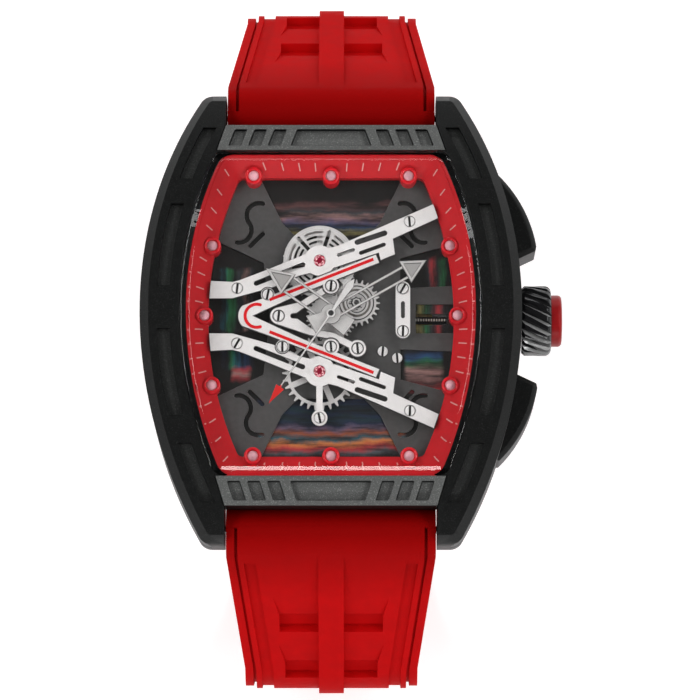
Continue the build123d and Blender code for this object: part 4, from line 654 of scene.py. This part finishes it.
def is_wall(face):
    """A face that stands nearly upright or looks down, with the outer half of its rounding."""
    return face.normal.z < 0.5


def is_rim(face):
    """The inner half of a rounding, which leans a little outwards."""
    return 0.5 < face.normal.z < 0.97


def soft_copy(name, body, material, width, segments=2):
    """Replace a node by a copy with rounded edges."""
    made = put(name + "_soft", merged_mesh(name))
    made.data.materials.clear()
    made.data.materials.append(material)
    bevel = made.modifiers.new("rounding", "BEVEL")
    bevel.width = width * MM
    bevel.segments = segments
    bevel.limit_method = "ANGLE"
    bevel.angle_limit = SHARP
    bevel.use_clamp_overlap = True
    weighted = made.modifiers.new("flat_faces", "WEIGHTED_NORMAL")
    weighted.keep_sharp = True
    baked(made)
    mark_faces(made, "wall", is_wall)
    mark_faces(made, "rim", is_rim)
    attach(made, body)
    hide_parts(name)
    print(made.name, len(made.data.polygons), "faces")
    return made


# %% Soft edges of the case and its bezel, with the coarse places marked
soft_copy("case_middle", "case", case_black, 0.25)
POCKET_RADIUS = TOP_RADIUS - 0.8 * MM
AXIS_HEIGHT = CASE_HEIGHT - TOP_RADIUS
# The rails' pockets take only a fifth of the coarse colour: that part is painted shade, as they lie in
# shadow.
RAIL_SHADED_SHARE = 0.2
BAR_SHARE = 0.92


def is_pocket_floor(face):
    """A face of a pocket's floor: it lies on the sunk curve and looks along its radius."""
    radial = Vector((0, face.center.y, face.center.z - AXIS_HEIGHT))
    sunk = abs(radial.length - POCKET_RADIUS) < 0.15 * MM
    return RAIL_SHADED_SHARE * (sunk and face.normal.dot(radial.normalized()) > 0.95)


def is_bar_top(face):
    """The upper faces of an end bar, and a little more so the floors of its pockets."""
    return max(BAR_SHARE * (face.normal.z > 0.5), is_pocket_floor(face) / RAIL_SHADED_SHARE)


for name in ("bezel_rail_left", "bezel_rail_right"):
    rail = soft_copy(name, "case", bezel_black, 0.16)
    mark_faces(rail, "pocket", is_pocket_floor)
for name in ("bezel_bar_12", "bezel_bar_6"):
    bar = soft_copy(name, "case", bezel_black, 0.12)
    mark_faces(bar, "pocket", is_bar_top)

# %% Soft edges of the pushers, the strap and the dial's bridges
soft_copy("pusher_upper", "upper_pusher", case_black, 0.2)
soft_copy("pusher_lower", "lower_pusher", case_black, 0.2)
soft_copy("strap_12", "upper_strap", strap_red, 0.22, 3)
soft_copy("strap_6", "lower_strap", strap_red, 0.22, 3)
soft_copy("keeper_free", "keeper", strap_red, 0.3, 3)
soft_copy("buckle_frame", "buckle", case_black, 0.3, 3)
soft_copy("buckle_tang", "tang", case_black, 0.15)
for name in BRIDGES:
    soft_copy(name, "case", bridge_silver, 0.09)
soft_copy("dial_plate", "case", plate_grey, 0.05, 1)

# %% [markdown]
# The crown's flutes shine on one shoulder each, a painted highlight, and the hands' arrows have a sunk
# triangle. Both are looks of single faces, so the faces are found by where they look and where they lie,
# and marked.

# %% Soft edges of the crown, the hands and the wheels
crown = soft_copy("crown", "crown_turner", crown_black, 0.12)
CROWN_AXIS_Z = 5.0 * MM
FLUTE_FLOOR = 3.6 * MM
LEAST_OUTWARDS = 0.3
LEAST_TURN = 0.25


# The shoulders found here take the crown's painted highlight.
def is_crest(face):
    """One rounded shoulder of each of the crown's flutes, the one that looks towards 12."""
    radial = Vector((0, face.center.y, face.center.z - CROWN_AXIS_Z))
    if radial.length < FLUTE_FLOOR:
        return False
    outwards = radial.normalized()
    around = Vector((-1, 0, 0)).cross(outwards)
    return face.normal.dot(outwards) > LEAST_OUTWARDS and face.normal.dot(around) > LEAST_TURN


mark_faces(crown, "crest", is_crest)
ARROW_BASE = {"hour": 5.95, "minute": 9.7}
FRAME_RISE = 0.06 * MM
for hand in ("hour", "minute"):
    made = soft_copy(hand + "_hand", hand, hand_silver, 0.08)
    frame_top = max(corner.co.z for corner in made.data.vertices) - FRAME_RISE
    arrow_start = ARROW_BASE[hand] * MM

    def is_inset(face):
        """The sunk triangle of the arrow, inside its raised frame."""
        level = face.normal.z > 0.9 and face.center.z < frame_top
        return level and face.center.xy.length > arrow_start

    mark_faces(made, "inset", is_inset)
soft_copy("seconds_hand", "seconds", seconds_silver, 0.04)
soft_copy("upper_disc", "upper_train", wheel_silver, 0.03, 1)
soft_copy("upper_gear", "upper_train", wheel_silver, 0.03, 1)
soft_copy("lower_wheel", "lower_train", wheel_low_lit_silver, 0.03, 1)
soft_copy("minute_wheel", "motion_work", motion_silver, 0.03, 1)

# %% [markdown]
# Screws, marker cups and domes are small turned pieces that repeat. Each one is modelled once from its
# profile and set on its places by Geometry Nodes, which turn every copy by its place's own angle. One tree
# serves all the sets and keeps them alike.

# %% Turned pieces, from a profile of radii and heights
ROUND = 40
SMOOTH_BELOW = math.radians(25)


def mesh_object(name, points, faces, material):
    """An object at the origin from points and faces, with its normals outwards and smooth faces."""
    mesh = bpy.data.meshes.new(name)
    mesh.from_pydata(points, [], faces)
    shape = bmesh.new()
    shape.from_mesh(mesh)
    bmesh.ops.recalc_face_normals(shape, faces=shape.faces)
    for face in shape.faces:
        face.smooth = True
    for edge in shape.edges:
        edge.smooth = edge.calc_face_angle(0.0) < SMOOTH_BELOW
    shape.to_mesh(mesh)
    shape.free()
    mesh.materials.append(material)
    return put(name, mesh)


def add_lathe(points, faces, profile):
    """Revolve a profile that starts and ends on the axis. Sizes are in millimetres."""
    rings = []
    for radius, height in profile:
        if radius == 0:
            points.append((0, 0, height * MM))
            rings.append([len(points) - 1])
            continue
        ring = []
        for i in range(ROUND):
            angle = 2 * math.pi * i / ROUND
            points.append((radius * math.cos(angle) * MM, radius * math.sin(angle) * MM, height * MM))
            ring.append(len(points) - 1)
        rings.append(ring)
    for low, high in zip(rings, rings[1:]):
        for i in range(ROUND):
            j = (i + 1) % ROUND
            if len(low) == 1:
                faces.append((low[0], high[j], high[i]))
            elif len(high) == 1:
                faces.append((low[i], low[j], high[0]))
            else:
                faces.append((low[i], low[j], high[j], high[i]))


print("lathe ready,", ROUND, "sides")


# %% A slotted screw
HEAD_RADIUS = 0.58
HEAD_EDGE = 0.05
SLOT_WIDTH = 0.22
SLOT_DEPTH = 0.14
SHAFT_RADIUS = 0.26
OVERLAP = 0.01


def add_prism(points, faces, outline, bottom, top, edge):
    """A closed block over an outline, with its top edge cut at a slant."""
    centre = Vector((sum(x for x, y in outline), sum(y for x, y in outline))) / len(outline)
    rings = []
    for inset, height in ((0, bottom), (0, top - edge), (edge, top)):
        ring = []
        for x, y in outline:
            inward = (centre - Vector((x, y))).normalized() * inset
            points.append(((x + inward.x) * MM, (y + inward.y) * MM, height * MM))
            ring.append(len(points) - 1)
        rings.append(ring)
    for low, high in zip(rings, rings[1:]):
        for i in range(len(outline)):
            j = (i + 1) % len(outline)
            faces.append((low[i], low[j], high[j], high[i]))
    faces.append(tuple(reversed(rings[0])))
    faces.append(tuple(rings[-1]))


def half_disc(radius, half_slot, side):
    """The outline of the part of a round head at one side of its slot."""
    first = math.asin(half_slot / radius)
    angles = [first + (math.pi - 2 * first) * i / 16 for i in range(17)]
    return [(side * radius * math.cos(a), side * radius * math.sin(a)) for a in angles]


def screw_piece(bottom, top, shaft_bottom):
    """A slotted screw on the Z axis: shaft and head, then the two halves of the head above its slot."""
    points = []
    faces = []
    floor = top - SLOT_DEPTH
    profile = [(0, shaft_bottom), (SHAFT_RADIUS, shaft_bottom), (SHAFT_RADIUS, bottom)]
    profile += [(HEAD_RADIUS, bottom), (HEAD_RADIUS, floor), (0, floor)]
    add_lathe(points, faces, profile)
    for side in (1, -1):
        outline = half_disc(HEAD_RADIUS, SLOT_WIDTH / 2, side)
        add_prism(points, faces, outline, floor - OVERLAP, top, HEAD_EDGE)
    return mesh_object("screw_piece", points, faces, screw_silver)


print("screw head", 2 * HEAD_RADIUS, "mm across")


# %% Geometry Nodes that set a piece on its places
def make_repeat_group():
    group, given, end = new_group(
        "repeat_on_places",
        [("Places", "Geometry", None), ("Piece", "Object", None), ("Finish", "Material", None)],
        [("Geometry", "Geometry")],
        "GeometryNodeTree",
    )
    piece = add(group, "GeometryNodeObjectInfo", given["Piece"]).outputs["Geometry"]
    turn = add(group, "GeometryNodeInputNamedAttribute", data_type="FLOAT", Name="turn")
    about_z = add(group, "ShaderNodeCombineXYZ", Z=turn.outputs["Attribute"])
    copies = add(group, "GeometryNodeInstanceOnPoints", given["Places"], Instance=piece, Rotation=about_z)
    solid = add(group, "GeometryNodeRealizeInstances", copies)
    finished = add(group, "GeometryNodeSetMaterial", solid, Material=given["Finish"])
    feed(group, end.inputs["Geometry"], finished)
    return group


repeat_group = make_repeat_group()
print("made", repeat_group.name)


# %% Run the tree on a set of places
def repeat(name, piece, places, material, turns=(0,)):
    """One mesh of copies of a piece; places are in millimetres, and the turns, in degrees, come round."""
    mesh = bpy.data.meshes.new(name + "_places")
    mesh.from_pydata([(x * MM, y * MM, 0) for x, y in places], [], [])
    attribute = mesh.attributes.new("turn", "FLOAT", "POINT")
    angles = [math.radians(turns[i % len(turns)]) for i in range(len(places))]
    attribute.data.foreach_set("value", angles)
    made = put(name, mesh)
    modifier = made.modifiers.new("repeat", "NODES")
    modifier.node_group = repeat_group
    names = {item.name: item.identifier for item in repeat_group.interface.items_tree}
    modifier[names["Piece"]] = piece
    modifier[names["Finish"]] = material
    baked(made)
    bpy.data.objects.remove(piece)
    print(name, len(places), "copies", len(made.data.polygons), "faces")
    return made


# %% The dial's screws
# Places are shares of the window's half width; heights are in millimetres.
WINDOW_HALF = 14.0
SCREW_TURNS = (84, 95, 60, 88, 102, 78, 90)
BRIDGE_SCREWS = [(x, side * y) for side in (1, -1) for x, y in ((-0.764, 0.226), (0.64, 0.776))]
BRIDGE_SCREWS += [(-0.0929, -0.834), (-0.515, 0.176), (-0.395, -0.252), (-0.426, 0)]
BRIDGE_SCREWS += [(0.216, -0.266), (0.585, 0.225), (0.585, -0.125)]
LOBE_SCREWS = ((0, 0.247), (0, -0.253))
PLATE_SCREWS = ((0.421, -0.271), (0.539, -0.325))
SCREW_SETS = (
    ("bridge_screws", BRIDGE_SCREWS, 7.75, 8.05, 6.2),
    ("lobe_screws", LOBE_SCREWS, 7.75, 8.05, 7.6),
    ("plate_screws", PLATE_SCREWS, 6.16, 6.45, 5.85),
)
for name, shares, head_bottom, head_top, shaft_bottom in SCREW_SETS:
    piece = screw_piece(head_bottom, head_top, shaft_bottom)
    places = [(x * WINDOW_HALF, y * WINDOW_HALF) for x, y in shares]
    made = repeat(name, piece, places, screw_silver, SCREW_TURNS)
    # The slots' floors take the painted shade of the walls as well.
    slot_floor = head_top * MM - 0.1 * MM
    mark_faces(made, "wall", lambda face: is_wall(face) or face.center.z < slot_floor)
    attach(made, "case")
    if name == "bridge_screws":
        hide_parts("dial_screws")

# %% [markdown]
# The markers: a glossy red cup with a rounded lip, and a pale dome of luminous filling in it. Both are
# turned from a profile whose round stretches are arcs, because the lip's highlight is what one sees.


# %% Profiles with arcs
def arc_profile(centre, radius, start, end, count=8):
    """Points of an arc in a profile, in degrees."""
    angles = [math.radians(start + (end - start) * i / count) for i in range(count + 1)]
    return [(centre[0] + radius * math.cos(a), centre[1] + radius * math.sin(a)) for a in angles]


def turned_piece(name, profile, material):
    points = []
    faces = []
    add_lathe(points, faces, profile)
    return mesh_object(name, points, faces, material)


print("arcs can be turned")

# %% Marker cups and domes
MARKERS = [(0, 16.05), (0, -16.05), (14.41, 0), (-14.41, 0)]
MARKERS += [(x * 8.85, y * 16.05) for x in (1, -1) for y in (1, -1)]
MARKERS += [(x * 13.55, y * 8.0) for x in (1, -1) for y in (1, -1)]
cup_profile = [(0, 6.15), (1.0, 6.15)] + arc_profile((0.8, 8.35), 0.2, 0, 180) + [(0.6, 8.25), (0, 8.25)]
dome_profile = [(0, 8.24), (0.6, 8.24)] + arc_profile((0, 8.02), 0.65, 22, 88) + [(0, 8.67)]
cup = turned_piece("cup_piece", cup_profile, cup_red)
dome = turned_piece("dome_piece", dome_profile, lume_with_red_reflection)
cups = repeat("marker_cups_turned", cup, MARKERS, cup_red)
domes = repeat("marker_domes_turned", dome, MARKERS, lume_with_red_reflection)
for made, slot, node in ((cups, "marker_cup", "marker_cups"), (domes, "lume", "marker_domes")):
    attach(made, "case")
    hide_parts(node)

# %% [markdown]
# The jewels are cut stones. Their facets are modelled, because only real facets catch the light one by
# one: a table, a ring of star and kite facets, and a girdle. Each facet gets a tone of its own, a painted
# reflection that stands for what it mirrors inside the stone.


# %% Jewels
jewel_red = grained("jewel_red", (0.5, 0.02, 0.06), 0.0, 0.06, 9000.0, 0.0, 0.2)
facet_reflections = blend_color(
    jewel_red, face_mask(jewel_red, "facet_reflection"), (0.2, 0.004, 0.02), (0.85, 0.42, 0.46)
)
facet_reflections.color_ramp.elements.new(0.5).color = (0.55, 0.05, 0.09, 1)
REFLECTION_STEP = 0.618
JEWEL_X = -1.3
JEWEL_Y = 6.3471


def make_jewels():
    points = []
    faces = []
    sides = 8
    for side in (1, -1):
        start = len(points)
        rings = ((0.68, 7.8, 0.5), (0.7, 7.98, 0.0), (0.52, 8.12, 0.5), (0.34, 8.18, 0.0))
        for radius, height, offset in rings:
            for i in range(sides):
                angle = 2 * math.pi * (i + offset) / sides
                x = JEWEL_X + radius * math.cos(angle)
                y = side * JEWEL_Y + radius * math.sin(angle)
                points.append((x * MM, y * MM, height * MM))
        for level in range(len(rings) - 1):
            low = start + level * sides
            high = low + sides
            shift = 1 if rings[level][2] > 0 else 0
            for i in range(sides):
                j = (i + 1) % sides
                faces.append((low + i, low + j, high + (i + shift) % sides))
                faces.append((low + j, high + (j + shift) % sides, high + (i + shift) % sides))
        faces.append(tuple(reversed(range(start, start + sides))))
        faces.append(tuple(range(start + 3 * sides, start + 4 * sides)))
    made = mesh_object("cut_jewels", points, faces, jewel_red)
    for face in made.data.polygons:
        face.use_smooth = False
    facet_reflection = made.data.attributes.new("facet_reflection", "FLOAT", "FACE")
    facet_reflection.data.foreach_set("value", [(face.index * REFLECTION_STEP) % 1.0 for face in made.data.polygons])
    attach(made, "case")
    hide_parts("jewels")
    return made


print("jewels", len(make_jewels().data.polygons), "facets")

# %% [markdown]
# The crystal is a thick slab of mineral glass, curved from 12 to 6, with a polished bevel. The CAD solid
# has facets that would show in the reflections, so it is remade as a fine grid that follows the same
# curve, with its wall and its bevel built from the same outline.


# %% The crystal's outline
ROWS = 60
CORNER_ROWS = 8


def barrel_half(half, side_radius, corner, y):
    """Half width of the tonneau outline at y, with its rounded corners."""
    half_width, half_length = half
    centre = half_width - side_radius
    side = centre + math.sqrt(max(0.0, side_radius**2 - y**2))
    inner = half_length - corner
    if abs(y) <= inner:
        return side
    slope_x = centre + math.sqrt(side_radius**2 - inner**2)
    rise = abs(y) - inner
    return slope_x - corner + math.sqrt(max(0.0, corner**2 - rise**2))


def row_places(half_length, corner):
    """Places of the rows, closer together round the corners."""
    inner = half_length - corner
    places = [-inner + 2 * inner * i / ROWS for i in range(ROWS + 1)]
    curve = [inner + corner * math.sin(math.pi / 2 * i / CORNER_ROWS) for i in range(1, CORNER_ROWS + 1)]
    return [-y for y in reversed(curve)] + places + curve


print("rows", len(row_places(CRYSTAL_HALF[1], CRYSTAL_CORNER)))

# %% The crystal's levels
# Shares of the bevel's width and of its drop, from the top outwards to the wall.
EDGE_SHARES = [(1.0, 0.0), (0.93, 0.03), (0.86, 0.09), (0.82, 0.125)]
EDGE_SHARES += [(0.14, 0.73), (0.10, 0.765), (0.04, 0.85), (0.0, 1.0)]
COLUMNS = 36


def crystal_levels():
    """Grids of points that follow the curved top: one for each step of the bevel, then the underside."""
    levels = []
    width, fall = CRYSTAL_BEVEL
    rim_levels = [(width * across, CRYSTAL_DROP + fall * down) for across, down in EDGE_SHARES]
    for inset, level_drop in rim_levels + [(0.0, CRYSTAL_DROP + CRYSTAL_THICKNESS)]:
        size = (CRYSTAL_HALF[0] - inset, CRYSTAL_HALF[1] - inset)
        radius = max(CRYSTAL_CORNER - inset, CRYSTAL_CORNER * 0.3)
        grid = []
        for y in row_places(size[1], radius):
            reach = barrel_half(size, CRYSTAL_SIDE_RADIUS - inset, radius, y)
            z = top_height(y, level_drop)
            grid.append([(reach * (2 * i / COLUMNS - 1), y, z) for i in range(COLUMNS + 1)])
        levels.append(grid)
    return levels


levels = crystal_levels()
print("levels", len(levels), "columns", COLUMNS)


# %% The crystal's mesh
def closed_slab(name, levels, material):
    """The first and the last grid, joined round their rim by the rims of the grids between."""
    points = []
    faces = []
    count = len(levels[0])

    def place_grid(grid):
        start = len(points)
        for line in grid:
            points.extend(line)
        return lambda r, c: start + r * (COLUMNS + 1) + c

    rim = [(0, c) for c in range(COLUMNS + 1)]
    rim += [(r, COLUMNS) for r in range(1, count)]
    rim += [(count - 1, c) for c in range(COLUMNS - 1, -1, -1)]
    rim += [(r, 0) for r in range(count - 2, 0, -1)]
    top = place_grid(levels[0])
    bottom = place_grid(levels[-1])
    for index in (top, bottom):
        for r in range(count - 1):
            for c in range(COLUMNS):
                faces.append((index(r, c), index(r, c + 1), index(r + 1, c + 1), index(r + 1, c)))
    rings = [[top(r, c) for r, c in rim]]
    for grid in levels[1:-1]:
        start = len(points)
        points.extend(grid[r][c] for r, c in rim)
        rings.append(list(range(start, start + len(rim))))
    rings.append([bottom(r, c) for r, c in rim])
    for upper, lower in zip(rings, rings[1:]):
        for i in range(len(rim)):
            j = (i + 1) % len(rim)
            faces.append((upper[i], upper[j], lower[j], lower[i]))
    return mesh_object(name, points, faces, material)


print("slab helper ready")


# %% The crystal's glass, and the crystal itself
def make_glass():
    """Clear glass that lets its own shadow rays through, so that the dial under it stays lit."""
    material = new_material("crystal_glass", (1, 1, 1), 0.0, 0.0, IOR=1.5, Transmission_Weight=1.0)
    tree = material.node_tree
    clear = add(tree, "ShaderNodeBsdfTransparent")
    is_shadow = add(tree, "ShaderNodeLightPath").outputs["Is Shadow Ray"]
    mix = add(tree, "ShaderNodeMixShader", is_shadow, tree.nodes["Principled BSDF"], clear)
    feed(tree, tree.nodes["Material Output"].inputs["Surface"], mix)
    return material


crystal_glass = make_glass()
crystal = closed_slab("crystal_slab", levels, crystal_glass)
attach(crystal, "case")
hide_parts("crystal")
print("crystal", len(crystal.data.polygons), "faces")

# %% [markdown]
# The studio: a pale floor that the strap stands on, two long softboxes over the watch, a weak strip at
# each side, and a camera almost straight above, as in the photograph. The softboxes stand where neither the
# crystal's bevel nor its underside mirrors them; the front strip is what the bevel mirrors at 6 o'clock.

# %% Floor
FLOOR_Z = cad_box[0].z


def seen_directly(tree):
    """1 for the rays that see the studio itself: camera, glossy and transmitted ones."""
    rays = add(tree, "ShaderNodeLightPath").outputs
    total = rays["Is Camera Ray"]
    for ray in ("Is Glossy Ray", "Is Transmission Ray"):
        total = add(tree, "ShaderNodeMath", total, rays[ray], operation="MAXIMUM")
    return total


def make_floor():
    """A white floor. It glows a little for direct rays, and more far out, where the lamps don't reach."""
    bpy.ops.mesh.primitive_plane_add(size=4.0, location=(0, 0, FLOOR_Z - 0.02 * MM))
    floor = bpy.context.object
    floor.name = "studio_floor"
    material = new_material("studio_floor_white", (0.9, 0.9, 0.9), 0.0, 0.9, Emission_Strength=1.0)
    tree = material.node_tree
    away = add(tree, "ShaderNodeVectorMath", object_place(tree), operation="LENGTH").outputs["Value"]
    glow = add(tree, "ShaderNodeMapRange", away, From_Min=0.1, From_Max=1.0, To_Min=0.42, To_Max=0.8)
    drive(material, "Emission Color", product(material, seen_directly(tree), glow))
    floor.data.materials.append(material)


make_floor()
print("floor at", round(FLOOR_Z / MM, 2), "mm")


# %% Lamps: name, place and size in metres, power in watts
LAMPS = (
    ("softbox_left", (-0.42, 0.05, 0.58), (0.7, 0.2), 1.85),
    ("softbox_right", (0.42, 0.05, 0.58), (0.7, 0.2), 1.85),
    ("strip_front", (0.0, -0.7, 0.28), (0.8, 0.06), 1.5),
    ("strip_back", (0.0, 0.7, 0.25), (0.8, 0.1), 0.8),
    ("strip_left", (-0.65, 0.0, 0.3), (0.8, 0.05), 0.6),
    ("strip_right", (0.65, 0.0, 0.3), (0.8, 0.05), 0.6),
)


def make_lamp(name, place, size, power):
    """A rectangular lamp that looks at the watch."""
    data = bpy.data.lights.new(name, "AREA")
    data.shape = "RECTANGLE"
    data.size, data.size_y = size
    data.energy = power
    lamp = put(name, data)
    lamp.location = place
    lamp.rotation_euler = (-Vector(place)).to_track_quat("-Z", "Y").to_euler()


for name, place, size, power in LAMPS:
    make_lamp(name, place, size, power)
print("lamps", len(LAMPS))


# %% World
def make_world():
    """A white horizon under a dim ceiling, and a dim, even light on the object."""
    world = bpy.data.worlds.new("studio_world")
    bpy.context.scene.world = world
    world.use_nodes = True
    tree = world.node_tree
    background = tree.nodes["Background"]
    background.inputs["Color"].default_value = (1, 1, 1, 1)
    way = add(tree, "ShaderNodeTexCoord").outputs["Generated"]
    height = add(tree, "ShaderNodeSeparateXYZ", way).outputs["Z"]
    ceiling = add(tree, "ShaderNodeMapRange", height, From_Min=0.15, From_Max=0.35, To_Min=1.0, To_Max=0.08)
    strength = add(tree, "ShaderNodeMix", data_type="FLOAT", Factor=seen_directly(tree), A=0.25, B=ceiling)
    feed(tree, background.inputs["Strength"], strength)


make_world()
print("made the world")

# %% [markdown]
# The camera stands 80 degrees above the dial's plane, on the 6 o'clock side, and 550 mm away. From there
# the strap's two falls look as short as in the photograph. Its lens follows from the distance and from the
# real size of a pixel.

# %% Camera
PIXEL = 0.11376 * MM
DIAL_PIXEL = (331, 315)
DIAL_HEIGHT = 8.9 * MM
FRAME_PIXELS = 700
SENSOR = 36.0
CAMERA_DISTANCE = 0.55
ELEVATION = math.radians(80.0)


def make_camera():
    back = Vector((0, -math.cos(ELEVATION), math.sin(ELEVATION)))
    up = Vector((0, math.sin(ELEVATION), math.cos(ELEVATION)))
    middle = FRAME_PIXELS / 2
    target = Vector((0, 0, DIAL_HEIGHT))
    target += Vector((1, 0, 0)) * (middle - DIAL_PIXEL[0]) * PIXEL
    target -= up * (middle - DIAL_PIXEL[1]) * PIXEL
    data = bpy.data.cameras.new("studio_camera")
    data.sensor_width = SENSOR
    data.lens = SENSOR * CAMERA_DISTANCE / (FRAME_PIXELS * PIXEL)
    data.clip_start = 0.05
    data.clip_end = 10.0
    camera = put("studio_camera", data)
    camera.location = target + back * CAMERA_DISTANCE
    camera.rotation_euler = (-back).to_track_quat("-Z", "Y").to_euler()
    bpy.context.scene.camera = camera
    return camera


camera = make_camera()
bpy.context.scene.view_settings.view_transform = "Standard"
print("lens", round(camera.data.lens, 1), "mm")
